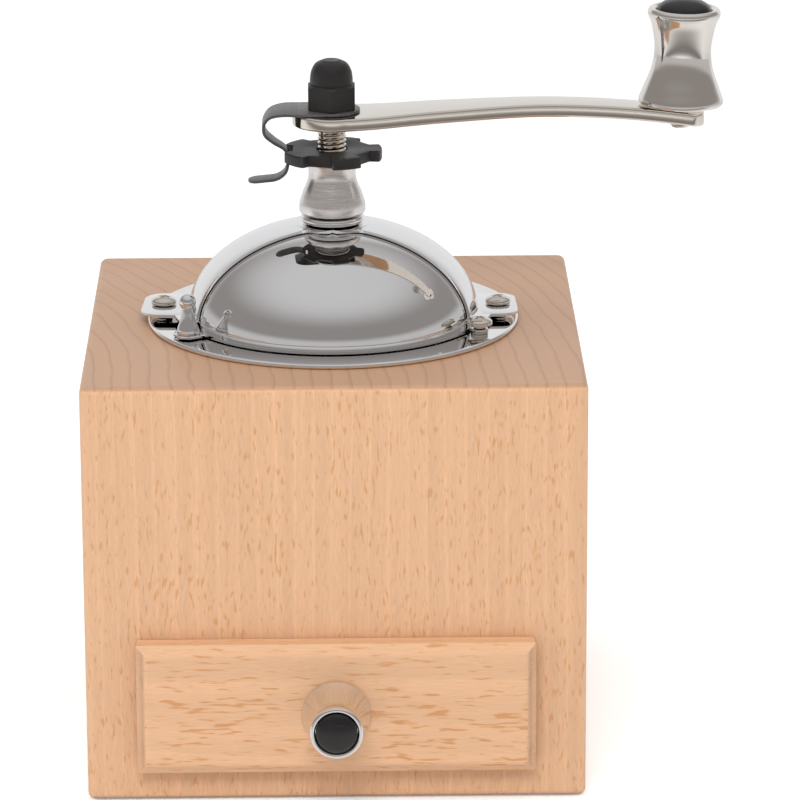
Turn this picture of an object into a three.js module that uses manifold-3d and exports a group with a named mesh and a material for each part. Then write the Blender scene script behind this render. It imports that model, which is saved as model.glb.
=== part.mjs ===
// Hand crank coffee mill: a wooden case with a drawer, a domed hopper with a turning door, and a crank above it.
// Millimetres, +Z up. The origin is the centre of the underside, the drawer faces -Y and the crank lies along +X.
import * as THREE from 'three';
import { mergeVertices } from 'three/addons/utils/BufferGeometryUtils.js';
import Module from 'manifold-3d';

const wasm = await Module();
wasm.setup();

// Clearances
const seatGap = 0.05; // between two pieces that rest on each other
const shankGap = 0.15; // round a shank in its hole
const runGap = 0.35; // round a turning or sliding shaft
const drawerGap = 0.5; // each side of the drawer box

// Wooden case
const caseWidth = 135;
const caseDepth = 135;
const caseHeight = 115.6;
const caseEdge = 1.8;
const caseCorner = 2.4;
const padThickness = 1;
const padInset = 0.8;
const backWall = 17.5;

// Drawer
const frontWidth = 107.4;
const frontHeight = 37.5;
const frontThickness = 7;
const frontBevelDepth = 1.8;
const frontBevelWidth = 2.6;
const frontBottom = 10.1; // above the underside of the mill
const frontOverlap = 6.2; // how far the front covers the case beside the drawer's opening
const frontOverlapHeight = 3.9;
const drawerWall = 5;
const drawerFloor = 3;
const drawerFloorRise = 1;
const drawerHeadroom = 1.2;
const drawerBackGap = 4;

// Chrome ring, fixed dome and turning door
const ringThickness = 1.4;
const domeRadius = 40.4;
const ringRadius = domeRadius + 11;
const wellRadius = domeRadius - 3;
const ringBore = wellRadius - 0.4;
const domeHeight = 26.7;
const domeSheet = 1;
const domeLift = 1.4; // the dome's flange stands above the ring, and the door's lip runs in the gap
const domeFlange = 4.1;
const domeEdgeSetback = 5.5; // the front edge of the fixed dome, in plan: y = -(setback + slope * |x|)
const domeEdgeSlope = 0.23;
const crownRadius = 9.6;
const doorSheet = 0.8;
const doorGap = 0.4;
const doorLipGap = 0.3;
const doorLipWidth = 3.5;
const doorStart = 194;
const doorEnd = 346;
const doorEyeRadius = 11;
const doorKnobAngle = 210.2;
const doorKnobRadius = domeRadius + 5.5;
const doorTabWidth = 8;
const doorTabReach = 3.6;
const doorKnobHeight = 11.1;
const doorKnobBase = 3.25;
const doorKnobBall = 2.3;
const doorRivetShank = 1.2;

// Dome screws: angle round the spindle and distance from it
const screwHead = 3.55;
const screwHeadHeight = 2.2;
const screwShank = 1.6;
const screwGrip = 11;
const spacerRadius = 2.4;
const earScrews = {
  left: { angle: 176.4, radius: domeRadius + 6.7 },
  right: { angle: 1.5, radius: domeRadius + 5.4 },
  rear: { angle: 90, radius: domeRadius + 5.6 },
};
const stopScrew = { angle: 332.2, radius: domeRadius + 4.8 };

// Spindle and what stands on it
const spindleRadius = 4;
const threadPitch = 1.25;
const bushRadius = 6;
const bushRingRadius = 8.8;
const bushRingHeight = 2.1;
const bushRingGap = 0.44;
const bushNutWidth = 17;
const bushNutHeight = 3;
const collarGap = 0.6;
const collarHeight = 14.5;
const collarFoot = 9.15;
const collarWaist = 6.45;
const collarTop = 7.85;
const wheelGap = 0.4;
const wheelRadius = 13.8;
const wheelThickness = 3.1;
const wheelNotches = 5;
const notchWidth = 6.4;
const notchFloor = 10.8;
const armRise = 6.8; // from the wheel to the crank arm
const armThickness = 3.5;
const latchSheet = 0.8;
const latchEye = 7.8;
const latchWidth = 5.4;
const latchTabWidth = 6.4;
const nutWidth = 12.8;
const nutHexHeight = 6.9;
const nutHeight = 13.6;
const nutDome = 5.85;
const nutThreadDepth = 8;

// Crank arm and its knob
const crankRadius = 95.8;
const armHubRadius = 10.8;
const armEndHalfWidth = 5.6;
const armCrown = 2.6; // how far the arm arches above its hub
const armEndDrop = 1.1; // and how far its end drops below it
const knobTilt = 1.5;
const knobGap = 1;
const knobBase = 11.65;
const knobWaist = 7.75;
const knobRim = 9.95;
const knobHeight = 26.7;
const knobInsert = 7.4;
const knobInsertHeight = 2.8;
const knobInsertDepth = 3.6;
const pinRadius = 2.2;
const pinHead = 3.8;
const pinHeadHeight = 1.5;
const pinFoot = 2.6;
const pinFootHeight = 1;

// Drawer knob
const pullBase = 9.25;
const pullWaist = 5.9;
const pullTip = 7.2;
const pullLength = 16.2;
const pullInsert = 5.6;
const pullInsertRise = 1.4;
const pullInsertDepth = 3;
const pullScrew = 2;
const pullScrewHead = 4;
const pullScrewHeadHeight = 2.4;
const pullScrewReach = 9;

// Grinding set, stacked up from the top of the drawer's opening
const bridgeRise = 7;
const bridgeThickness = 3;
const bridgeWidth = 18;
const bridgeLeg = 5;
const lowerBushRadius = 6.5;
const lowerBushHeight = 6;
const spindleTail = 2;
const innerBurrGap = 2.3;
const innerBurrHeight = 20;
const innerBurrFoot = 16;
const innerBurrTop = 8.5;
const outerBurrRadius = 24;
const outerBurrHeight = 19;
const outerBurrBore = 17.2;
const outerBurrMouth = 20.5;
const outerBurrThroat = 15.8;
const lugReach = 7;
const lugThickness = 4;
const burrTeeth = 14;
const toothDepth = 1.4;
const burrPinRadius = 1.3;
const funnelSheet = 0.9;
const funnelRim = 2.9;
const bridgeScrew = 1.3;
const bridgeScrewHead = 2.8;
const bridgeScrewHeadHeight = 1.8;
const bridgeScrewLength = 12;

// Lift spring inside the dome
const springRadius = 6.1;
const springWire = 1.2;
const springTurns = 5;
const springLength = 17;
const springSeat = 7.8;
const springSeatThickness = 1.2;
const seatPinRadius = 1;

// Heights above the underside
const caseTop = padThickness + caseHeight;
const ringTop = caseTop + ringThickness;
const domeFoot = ringTop + domeLift;
const lipBottom = ringTop + doorLipGap;
const bushRingBottom = ringTop + domeHeight * ellipseRise(bushRingRadius, domeRadius) + bushRingGap;
const collarBottom = bushRingBottom + bushRingHeight + collarGap;
const wheelBottom = collarBottom + collarHeight + wheelGap;
const wheelTop = wheelBottom + wheelThickness;
const armBottom = wheelTop + armRise;
const armTop = armBottom + armThickness;
const eyeBottom = armTop + seatGap;
const eyeTop = eyeBottom + latchSheet;
const nutBottom = eyeTop + seatGap;
const frontMiddle = frontBottom + frontHeight / 2;
const openingBottom = frontBottom + frontOverlapHeight;
const openingTop = frontBottom + frontHeight - frontOverlapHeight;
const bridgeBottom = openingTop + bridgeRise;
const lowerBushTop = bridgeBottom + lowerBushHeight;
const innerBurrBottom = lowerBushTop + innerBurrGap;
const outerBurrBottom = innerBurrBottom - 1;
const outerBurrTop = outerBurrBottom + outerBurrHeight;
const doorInnerRadius = domeRadius - domeSheet - doorGap - doorSheet;
const doorInnerHeight = domeHeight - domeSheet - doorGap - doorSheet;
const bushNutTop = ringTop + doorInnerHeight * ellipseRise(bushNutWidth / 2, doorInnerRadius) - runGap;
const springTop = bushNutTop - bushNutHeight - runGap;
const springBottom = springTop - springLength;
const drawerWidth = frontWidth - 2 * frontOverlap;
const drawerBottom = openingBottom + drawerGap;
const drawerTop = openingTop - drawerHeadroom;
const caseFront = -caseDepth / 2;
const openingBack = caseDepth / 2 - backWall;
const drawerBack = openingBack - drawerBackGap;
const frontBack = caseFront - 0.3;
const frontFace = frontBack - frontThickness;

// Finishes
const beech = new THREE.MeshStandardMaterial({ color: 0xc98a55, roughness: 0.5, metalness: 0 });
const plainWood = new THREE.MeshStandardMaterial({ color: 0xd6ac78, roughness: 0.7, metalness: 0 });
const felt = new THREE.MeshStandardMaterial({ color: 0x2c2724, roughness: 0.95, metalness: 0 });
const chrome = new THREE.MeshStandardMaterial({ color: 0xe8e8ea, roughness: 0.06, metalness: 1 });
const nickel = new THREE.MeshStandardMaterial({ color: 0xc9c5bd, roughness: 0.22, metalness: 1 });
const satinSteel = new THREE.MeshStandardMaterial({ color: 0xa9a9aa, roughness: 0.38, metalness: 1 });
const darkIron = new THREE.MeshStandardMaterial({ color: 0x4d4b49, roughness: 0.55, metalness: 0.9 });
const blackPaint = new THREE.MeshStandardMaterial({ color: 0x141414, roughness: 0.45, metalness: 0.1 });
const blackPlastic = new THREE.MeshStandardMaterial({ color: 0x101010, roughness: 0.3, metalness: 0 });
const brass = new THREE.MeshStandardMaterial({ color: 0xb5924c, roughness: 0.3, metalness: 1 });

// Height of an ellipse of unit rise at a distance from its axis
function ellipseRise(distance, radius) {
  return Math.sqrt(1 - (distance / radius) ** 2);
}

function radians(degrees) {
  return (degrees * Math.PI) / 180;
}

function polar(degrees, radius) {
  return [radius * Math.cos(radians(degrees)), radius * Math.sin(radians(degrees))];
}

// A closed three.js geometry as a solid that can be cut and joined
function solid(geometry) {
  const bare = geometry.clone();
  bare.deleteAttribute('normal');
  bare.deleteAttribute('uv');
  const merged = mergeVertices(bare, 1e-4);
  const index = merged.index.array;
  const triangles = [];
  for (let i = 0; i < index.length; i += 3) {
    const [a, b, c] = index.slice(i, i + 3);
    if (a !== b && b !== c && c !== a) triangles.push(a, b, c);
  }
  const vertProperties = new Float32Array(merged.attributes.position.array);
  return new wasm.Manifold(new wasm.Mesh({ numProp: 3, vertProperties, triVerts: new Uint32Array(triangles) }));
}

function geometryOf(body) {
  const mesh = body.getMesh();
  const geometry = new THREE.BufferGeometry();
  geometry.setAttribute('position', new THREE.BufferAttribute(new Float32Array(mesh.vertProperties), 3));
  geometry.setIndex(new THREE.BufferAttribute(new Uint32Array(mesh.triVerts), 1));
  geometry.computeVertexNormals();
  return geometry;
}

// A profile of [radius, height] points turned about Z: up the outside, down the inside
function turned(profile, segments = 32) {
  const points = profile.map(([radius, height]) => new THREE.Vector2(radius, height));
  return new THREE.LatheGeometry(points, segments).rotateX(Math.PI / 2);
}

// A bored ring or washer
function tube(outer, inner, bottom, top, segments = 24) {
  return turned([[inner, bottom], [outer, bottom], [outer, top], [inner, top], [inner, bottom]], segments);
}

function rod(radius, bottom, top, segments = 16) {
  return turned([[0, bottom], [radius, bottom], [radius, top], [0, top]], segments);
}

// An outline in plan, raised between two heights
function prism(outline, bottom, top) {
  const shape = outline instanceof THREE.Shape ? outline : new THREE.Shape(outline.map(toVector));
  const settings = { depth: top - bottom, bevelEnabled: false, curveSegments: 6 };
  return new THREE.ExtrudeGeometry(shape, settings).translate(0, 0, bottom);
}

function toVector([x, y]) {
  return new THREE.Vector2(x, y);
}

// A block given by its lowest and highest corners
function block([x0, y0, z0], [x1, y1, z1]) {
  const geometry = new THREE.BoxGeometry(x1 - x0, y1 - y0, z1 - z0);
  return geometry.translate((x0 + x1) / 2, (y0 + y1) / 2, (z0 + z1) / 2);
}

// Points along a quarter of an ellipse, from a height above its base to a distance from its axis
function domeArc(radius, height, fromHeight, toDistance, steps = 8) {
  const first = Math.asin(fromHeight / height);
  const last = Math.acos(toDistance / radius);
  const points = [];
  for (let i = 0; i <= steps; i += 1) {
    const t = first + ((last - first) * i) / steps;
    points.push([radius * Math.cos(t), ringTop + height * Math.sin(t)]);
  }
  return points;
}

// A smooth curve through [radius, height] points, as more points
function smooth(points, steps) {
  const curve = new THREE.SplineCurve(points.map(toVector));
  return curve.getPoints(steps).map((point) => [point.x, point.y]);
}

// A solid through toothed rings, each ring [height, crest radius, twist in degrees]
function toothedCone(rings, depth) {
  const count = burrTeeth * 2;
  const positions = [];
  for (const [height, crest, twist] of rings) {
    for (let i = 0; i < count; i += 1) {
      const radius = i % 2 === 0 ? crest : crest - depth;
      positions.push(...polar(twist + (360 * i) / count, radius), height);
    }
  }
  const index = [];
  for (let ring = 0; ring < rings.length - 1; ring += 1) {
    for (let i = 0; i < count; i += 1) {
      const [a, b] = [ring * count + i, ring * count + ((i + 1) % count)];
      index.push(a, b, b + count, a, b + count, a + count);
    }
  }
  const foot = positions.length / 3;
  positions.push(0, 0, rings[0][0], 0, 0, rings.at(-1)[0]);
  const last = (rings.length - 1) * count;
  for (let i = 0; i < count; i += 1) {
    const next = (i + 1) % count;
    index.push(foot, next, i, foot + 1, last + i, last + next);
  }
  const geometry = new THREE.BufferGeometry();
  geometry.setAttribute('position', new THREE.Float32BufferAttribute(positions, 3));
  geometry.setIndex(index);
  return geometry;
}

const mill = new THREE.Group();

function place(parent, name, shape, material) {
  const geometry = shape instanceof THREE.BufferGeometry ? shape : geometryOf(shape);
  const mesh = new THREE.Mesh(geometry, material);
  mesh.name = name;
  parent.add(mesh);
}

// Case

function roundedRectangle(width, depth, corner) {
  const [x, y] = [width / 2, depth / 2];
  const shape = new THREE.Shape();
  shape.moveTo(-x + corner, -y);
  shape.lineTo(x - corner, -y);
  shape.absarc(x - corner, -y + corner, corner, -Math.PI / 2, 0);
  shape.lineTo(x, y - corner);
  shape.absarc(x - corner, y - corner, corner, 0, Math.PI / 2);
  shape.lineTo(-x + corner, y);
  shape.absarc(-x + corner, y - corner, corner, Math.PI / 2, Math.PI);
  shape.lineTo(-x, -y + corner);
  shape.absarc(-x + corner, -y + corner, corner, Math.PI, Math.PI * 1.5);
  return shape;
}

function makeCase() {
  const blockShape = new THREE.ExtrudeGeometry(roundedRectangle(caseWidth, caseDepth, caseCorner), {
    depth: caseHeight - 2 * caseEdge,
    bevelThickness: caseEdge,
    bevelSize: caseEdge,
    bevelOffset: -caseEdge,
    bevelSegments: 2,
    curveSegments: 3,
  });
  const rimSeat = wellRadius + funnelRim;
  const openingHalf = drawerWidth / 2 + drawerGap;
  let body = solid(blockShape.translate(0, 0, padThickness + caseEdge));
  body = body.subtract(solid(rod(wellRadius, openingBottom + 1, caseTop + 1, 40)));
  body = body.subtract(solid(rod(rimSeat, caseTop - funnelSheet - seatGap * 2, caseTop + 1, 40)));
  const opening = block([-openingHalf, caseFront - 1, openingBottom], [openingHalf, openingBack, openingTop]);
  body = body.subtract(solid(opening));
  for (const screw of [...Object.values(earScrews), stopScrew]) {
    body = body.subtract(screwHole(screw, caseTop - screwGrip - 1, caseTop + 1));
  }
  place(mill, 'case_block', body, beech);
}

function screwHole({ angle, radius }, bottom, top) {
  const [x, y] = polar(angle, radius);
  return solid(rod(screwShank + shankGap, bottom, top, 16).translate(x, y, 0));
}

function makePad() {
  const size = [caseWidth - 2 * padInset, caseDepth - 2 * padInset];
  place(mill, 'base_pad', prism(roundedRectangle(...size, caseCorner), 0, padThickness - seatGap), felt);
}

// Ring, dome and screws

function makeRing() {
  const edge = ringThickness / 2;
  const bottom = caseTop + seatGap;
  const profile = [
    [ringBore, bottom],
    [ringRadius - edge / 2, bottom],
    [ringRadius, bottom + edge / 2],
    [ringRadius, ringTop - edge],
    [ringRadius - edge / 3, ringTop - edge / 3],
    [ringRadius - edge, ringTop],
    [ringBore, ringTop],
    [ringBore, bottom],
  ];
  let body = solid(turned(profile, 48));
  for (const screw of [...Object.values(earScrews), stopScrew]) {
    body = body.subtract(screwHole(screw, caseTop - 1, ringTop + 1));
  }
  place(mill, 'base_ring', body, chrome);
}

// Rear of the plan that the fixed dome covers, with the crown that carries the spindle's bush
function domePlan() {
  const reach = ringRadius + 10;
  const side = -(domeEdgeSetback + domeEdgeSlope * reach);
  const outline = [[reach, side], [reach, reach], [-reach, reach], [-reach, side], [0, -domeEdgeSetback]];
  const rear = solid(prism(outline, domeFoot - 1, ringTop + domeHeight + 1));
  return rear.add(solid(rod(crownRadius, ringTop + domeHeight / 2, ringTop + domeHeight + 1, 48)));
}

// An ear of the dome's flange: a tab with cut corners, from the dome's wall to past its screw
function ear({ angle, radius }, halfWidth, past) {
  const root = domeRadius - domeSheet / 2;
  const end = radius + past;
  const cut = past * 0.85;
  const outline = [
    [root, -halfWidth],
    [end - cut, -halfWidth],
    [end, -halfWidth + cut],
    [end, halfWidth - cut],
    [end - cut, halfWidth],
    [root, halfWidth],
  ];
  const tab = prism(outline, domeFoot, domeFoot + domeSheet);
  return solid(tab.rotateZ(radians(angle)));
}

function makeDome() {
  const flangeTop = domeFoot + domeSheet;
  const hole = bushRadius + shankGap;
  const outer = domeArc(domeRadius, domeHeight, flangeTop - ringTop, hole);
  const inner = domeArc(domeRadius - domeSheet, domeHeight - domeSheet, domeLift, hole);
  const flangeEdge = domeRadius + domeFlange;
  const first = inner[0];
  const profile = [first, [flangeEdge, domeFoot], [flangeEdge, flangeTop], ...outer, ...inner.reverse()];
  let body = solid(turned(profile, 48)).intersect(domePlan());
  body = body.add(ear(earScrews.left, 11.5, 5.9));
  body = body.add(ear(earScrews.right, 11, 5.2));
  body = body.add(ear(earScrews.rear, 9, 4.8));
  for (const screw of Object.values(earScrews)) {
    body = body.subtract(screwHole(screw, domeFoot - 1, flangeTop + 1));
  }
  place(mill, 'dome_shell', body, chrome);
}

// A pan head screw whose head sits at a height, with its shank going down into the case
function panScrew(headBottom) {
  const top = headBottom + screwHeadHeight;
  return turned([
    [0, caseTop - screwGrip],
    [screwShank, caseTop - screwGrip + 1.5],
    [screwShank, headBottom],
    [screwHead, headBottom],
    [screwHead, headBottom + screwHeadHeight * 0.35],
    [screwHead * 0.8, headBottom + screwHeadHeight * 0.75],
    [screwHead * 0.4, top - screwHeadHeight * 0.05],
    [0, top],
  ], 14);
}

function makeScrews() {
  const earTop = domeFoot + domeSheet + seatGap;
  const spacer = tube(spacerRadius, screwShank + shankGap, ringTop + seatGap, domeFoot - seatGap, 12);
  for (const [side, { angle, radius }] of Object.entries(earScrews)) {
    const [x, y] = polar(angle, radius);
    place(mill, `dome_screw_${side}`, panScrew(earTop).translate(x, y, 0), nickel);
    place(mill, `dome_spacer_${side}`, spacer.clone().translate(x, y, 0), nickel);
  }
  const [x, y] = polar(stopScrew.angle, stopScrew.radius);
  place(mill, 'stop_screw', panScrew(earTop).translate(x, y, 0), nickel);
  place(mill, 'stop_spacer', spacer.clone().translate(x, y, 0), nickel);
}

// Door: an inner shell that turns about the spindle's bush, with a lip, a tab and a small knob

function doorPlan() {
  const reach = ringRadius + 10;
  const outline = [[0, 0]];
  for (const angle of [doorStart, (doorStart + doorEnd) / 2, doorEnd]) outline.push(polar(angle, reach * 2));
  const top = ringTop + domeHeight;
  return solid(prism(outline, ringTop, top)).add(solid(rod(doorEyeRadius, ringTop + domeHeight / 2, top, 48)));
}

function makeDoor() {
  const lipTop = lipBottom + doorSheet;
  const eyeHole = bushRadius + runGap;
  const outerRadius = doorInnerRadius + doorSheet;
  const outerHeight = doorInnerHeight + doorSheet;
  const outer = domeArc(outerRadius, outerHeight, lipTop - ringTop, eyeHole);
  const inner = domeArc(doorInnerRadius, doorInnerHeight, doorLipGap, eyeHole);
  const lipEdge = outerRadius + doorLipWidth;
  const first = inner[0];
  const profile = [first, [lipEdge, lipBottom], [lipEdge, lipTop], ...outer, ...inner.reverse()];
  const half = doorTabWidth / 2;
  const end = doorKnobRadius + doorTabReach;
  const tabOutline = [
    [lipEdge - 1, -half],
    [end - half / 2, -half],
    [end, -half / 2],
    [end, half / 2],
    [end - half / 2, half],
    [lipEdge - 1, half],
  ];
  const tab = prism(tabOutline, lipBottom, lipTop).rotateZ(radians(doorKnobAngle));
  const [x, y] = polar(doorKnobAngle, doorKnobRadius);
  const rivetHole = rod(doorRivetShank + shankGap, lipBottom - 1, lipTop + 1, 16).translate(x, y, 0);
  const body = solid(turned(profile, 48)).intersect(doorPlan()).add(solid(tab)).subtract(solid(rivetHole));
  place(mill, 'hopper_door', body, chrome);
  makeDoorKnob(x, y, lipTop + seatGap);
}

function makeDoorKnob(x, y, foot) {
  const ballMiddle = doorKnobHeight - doorKnobBall;
  const neck = doorKnobBall * 0.72;
  const profile = [
    [0, foot - doorSheet - seatGap],
    [doorRivetShank, foot - doorSheet - seatGap],
    [doorRivetShank, foot],
    [doorKnobBase, foot],
    [doorKnobBase, foot + 0.8],
    [doorKnobBase * 0.72, foot + doorKnobHeight * 0.2],
    [neck, foot + ballMiddle - doorKnobBall * 0.8],
  ];
  for (let angle = -30; angle <= 90; angle += 24) {
    const [distance, height] = polar(angle, doorKnobBall);
    profile.push([Math.max(distance, 0), foot + ballMiddle + height]);
  }
  profile[profile.length - 1][0] = 0;
  place(mill, 'door_knob', turned(profile, 16).translate(x, y, 0), chrome);
}

// Spindle's upper bush, its nut and the collar that turns on it

function makeBush() {
  const bore = spindleRadius + runGap;
  const foot = bushNutTop - bushNutHeight - seatGap;
  const ringHigh = bushRingBottom + bushRingHeight;
  const round = bushRingHeight * 0.3;
  const profile = [
    [bore, foot],
    [bushRadius, foot],
    [bushRadius, bushRingBottom],
    [bushRingRadius - round, bushRingBottom],
    [bushRingRadius, bushRingBottom + round],
    [bushRingRadius, ringHigh - round],
    [bushRingRadius - round, ringHigh],
    [bore, ringHigh],
    [bore, foot],
  ];
  place(mill, 'spindle_bush', turned(profile), chrome);
  const nut = solid(prism(hexagon(bushNutWidth), bushNutTop - bushNutHeight, bushNutTop));
  const thread = rod(bushRadius + shankGap, bushNutTop - bushNutHeight - 1, bushNutTop + 1, 32);
  place(mill, 'bush_nut', nut.subtract(solid(thread)), nickel);
}

// A hexagon by its width across flats, with a corner towards the front
function hexagon(acrossFlats) {
  const corner = acrossFlats / Math.sqrt(3);
  const corners = [];
  for (let i = 0; i < 6; i += 1) corners.push(toVector(polar(30 + 60 * i, corner)));
  return new THREE.Shape(corners);
}

function makeCollar() {
  const bore = spindleRadius + runGap;
  const foot = collarBottom;
  const top = collarBottom + collarHeight;
  const flare = smooth([
    [collarFoot, foot + collarHeight * 0.22],
    [collarWaist + 0.5, foot + collarHeight * 0.42],
    [collarWaist, foot + collarHeight * 0.62],
    [collarWaist + 0.3, foot + collarHeight * 0.8],
    [collarTop, top - 0.6],
  ], 7);
  const profile = [[bore, foot], [collarFoot - 0.7, foot], [collarFoot, foot + 0.8], ...flare];
  profile.push([collarTop, top], [bore, top], [bore, foot]);
  place(mill, 'drive_collar', turned(profile), satinSteel);
}

// Star wheel: a disc with square notches that the latch drops into
function makeWheel() {
  let body = solid(tube(wheelRadius, spindleRadius + runGap, wheelBottom, wheelTop));
  const notch = block(
    [notchFloor, -notchWidth / 2, wheelBottom - 1],
    [wheelRadius + 1, notchWidth / 2, wheelTop + 1],
  );
  for (let i = 0; i < wheelNotches; i += 1) {
    body = body.subtract(solid(notch.clone().rotateZ(Math.PI + (i * Math.PI * 2) / wheelNotches)));
  }
  place(mill, 'star_wheel', body, blackPaint);
}

// Spindle with a hole for each cross pin
function makeSpindle() {
  const bottom = bridgeBottom - spindleTail;
  const top = nutBottom + nutThreadDepth - seatGap * 4;
  let body = solid(turned([
    [0, bottom],
    [spindleRadius - 0.8, bottom],
    [spindleRadius, bottom + 0.8],
    [spindleRadius, top - 0.8],
    [spindleRadius - 0.8, top],
    [0, top],
  ], 32));
  body = body.subtract(crossHole(burrPinRadius, burrPinHeight()));
  body = body.subtract(crossHole(seatPinRadius, seatPinHeight()));
  place(mill, 'spindle', body, nickel);
}

function burrPinHeight() {
  return innerBurrBottom + innerBurrHeight - burrPinRadius * 2.5;
}

function seatPinHeight() {
  return springBottom - springSeatThickness - seatGap * 2 - seatPinRadius;
}

function crossPin(radius, height, length) {
  return rod(radius, -length / 2, length / 2, 16).rotateY(Math.PI / 2).translate(0, 0, height);
}

function crossHole(radius, height) {
  return solid(crossPin(radius + shankGap, height, innerBurrFoot * 3));
}

// Cap nut: a hexagon under a dome, bored from below
function makeCapNut() {
  const hexTop = nutBottom + nutHexHeight;
  const corner = nutWidth / Math.sqrt(3);
  const capTop = nutBottom + nutHeight;
  const chamfer = turned([
    [0, nutBottom],
    [corner - 0.5, nutBottom],
    [corner, nutBottom + 0.5],
    [corner, hexTop - 0.8],
    [nutDome, hexTop],
    [0, hexTop],
  ], 36);
  const dome = smooth([
    [nutDome, hexTop + nutDome * 0.3],
    [nutDome * 0.86, capTop - 2],
    [nutDome * 0.39, capTop],
  ], 6);
  const cap = turned([[0, hexTop - 1], [nutDome, hexTop - 1], ...dome, [0, capTop]], 24);
  let body = solid(prism(hexagon(nutWidth), nutBottom, hexTop)).intersect(solid(chamfer));
  body = body.add(solid(cap));
  const bore = rod(spindleRadius + shankGap, nutBottom - 1, nutBottom + nutThreadDepth, 32);
  place(mill, 'cap_nut', body.subtract(solid(bore)), blackPaint);
}

// Crank arm: its arched side view crossed with its tapering plan
function makeArm() {
  const end = crankRadius + armEndHalfWidth + 1;
  const crest = smooth([
    [-armHubRadius - 1, armTop],
    [armHubRadius * 0.8, armTop],
    [crankRadius * 0.32, armTop + armCrown * 0.56],
    [crankRadius * 0.6, armTop + armCrown],
    [crankRadius * 0.85, armTop + armCrown * 0.6],
    [end + 1, armTop - armEndDrop],
  ], 24);
  const under = crest.map(([x, z]) => [x, z - armThickness]).reverse();
  const side = prism([...under, ...crest].reverse(), -armHubRadius - 1, armHubRadius + 1).rotateX(Math.PI / 2);
  const waist = crankRadius * 0.58;
  const plan = new THREE.Shape();
  const hubTurn = radians(68);
  plan.absarc(0, 0, armHubRadius, hubTurn, Math.PI * 2 - hubTurn);
  plan.lineTo(waist, -armEndHalfWidth);
  plan.lineTo(crankRadius, -armEndHalfWidth);
  plan.absarc(crankRadius, 0, armEndHalfWidth + 0.9, -Math.PI * 0.35, Math.PI * 0.35);
  plan.lineTo(crankRadius, armEndHalfWidth);
  plan.lineTo(waist, armEndHalfWidth);
  const depth = armCrown + armThickness;
  let body = solid(side).intersect(solid(prism(plan, armBottom - depth, armTop + depth)));
  body = body.subtract(solid(rod(spindleRadius + shankGap, armBottom - 1, armTop + 1, 32)));
  const pinHole = rod(pinRadius + shankGap, -armThickness * 4, armThickness * 2, 20);
  body = body.subtract(solid(pinHole.rotateY(radians(knobTilt)).translate(crankRadius, 0, knobFoot())));
  place(mill, 'crank_arm', body, nickel);
}

// Where the knob's foot is, over the arm's top at the pin
function knobFoot() {
  return armTop + armCrown * 0.25 + knobGap;
}

function makeCrankKnob() {
  const knob = new THREE.Group();
  knob.position.set(crankRadius, 0, knobFoot());
  knob.rotation.y = radians(knobTilt);
  mill.add(knob);
  const flank = smooth([
    [knobBase, 2],
    [knobBase * 0.88, knobHeight * 0.18],
    [knobWaist + 0.5, knobHeight * 0.4],
    [knobWaist, knobHeight * 0.58],
    [knobRim - 1.1, knobHeight * 0.82],
    [knobRim, knobHeight - 2],
  ], 9);
  const bore = pinRadius + runGap;
  const pocket = pinHead + runGap;
  const recess = knobHeight - knobInsertDepth;
  const headFloor = recess - pinHeadHeight - runGap * 2;
  const shell = [[bore, 0], [knobBase - 0.6, 0], [knobBase, 0.6], ...flank];
  shell.push([knobRim - 0.4, knobHeight - 0.5], [knobRim - 1.2, knobHeight]);
  shell.push([knobInsert + shankGap, knobHeight], [knobInsert + shankGap, recess], [pocket, recess]);
  shell.push([pocket, headFloor], [bore, headFloor], [bore, 0]);
  place(knob, 'crank_knob_shell', turned(shell), chrome);
  const crown = knobHeight + knobInsertHeight;
  const insert = [[0, recess + seatGap], [knobInsert, recess + seatGap], [knobInsert, knobHeight + 0.4]];
  insert.push([knobInsert * 0.86, crown - 1.1], [knobInsert * 0.5, crown - 0.25], [0, crown]);
  place(knob, 'crank_knob_insert', turned(insert), blackPlastic);
  const headBottom = headFloor + runGap;
  const underArm = -knobGap - armThickness - 1.2;
  const pin = [[0, underArm - pinFootHeight], [pinFoot, underArm - pinFootHeight], [pinFoot, underArm]];
  pin.push([pinRadius, underArm], [pinRadius, headBottom], [pinHead, headBottom]);
  pin.push([pinHead, headBottom + pinHeadHeight], [0, headBottom + pinHeadHeight]);
  place(knob, 'knob_pin', turned(pin, 16), nickel);
}

// Latch: a bent strip of spring steel, with an eye under the cap nut and a leaf that drops into the star wheel

// Middle line of the strip in side view, from the eye to the thumb tab
function latchLine() {
  const eye = eyeBottom + latchSheet / 2;
  const bend = armBottom - 0.3;
  const out = -latchBendReach();
  return {
    upper: [[-latchEye + 1, eye], [out + 5.2, eye], [out + 1.8, eye - 0.8], [out + 0.2, eye - 2.7], [out, bend + 0.2]],
    lower: [
      [out, bend - 0.2],
      [out + 0.5, bend - 2.3],
      [out + 2.8, wheelTop + 2.2],
      [-notchFloor - 2.3, wheelTop + 0.3],
      [-notchFloor - 1.3, wheelTop - 1.7],
      [-notchFloor - 1.2, wheelBottom - 1],
      [-notchFloor - 2.1, wheelBottom - 3.4],
      [-notchFloor - 4.4, wheelBottom - 5],
      [-notchFloor - 7.8, wheelBottom - 5.5],
      [-notchFloor - 12.3, wheelBottom - 5.9],
    ],
  };
}

function latchBendReach() {
  return notchFloor + 7.9;
}

// A strip of sheet along a line in side view, wide in Y
function strip(line, steps, width) {
  const curve = new THREE.SplineCurve(line.map(toVector));
  const above = [];
  const below = [];
  for (let i = 0; i <= steps; i += 1) {
    const { x, y } = curve.getPoint(i / steps);
    const along = curve.getTangent(i / steps).multiplyScalar(latchSheet / 2);
    above.push([x - along.y, y + along.x]);
    below.push([x + along.y, y - along.x]);
  }
  return prism([...above, ...below.reverse()].reverse(), -width / 2, width / 2).rotateX(Math.PI / 2);
}

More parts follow.
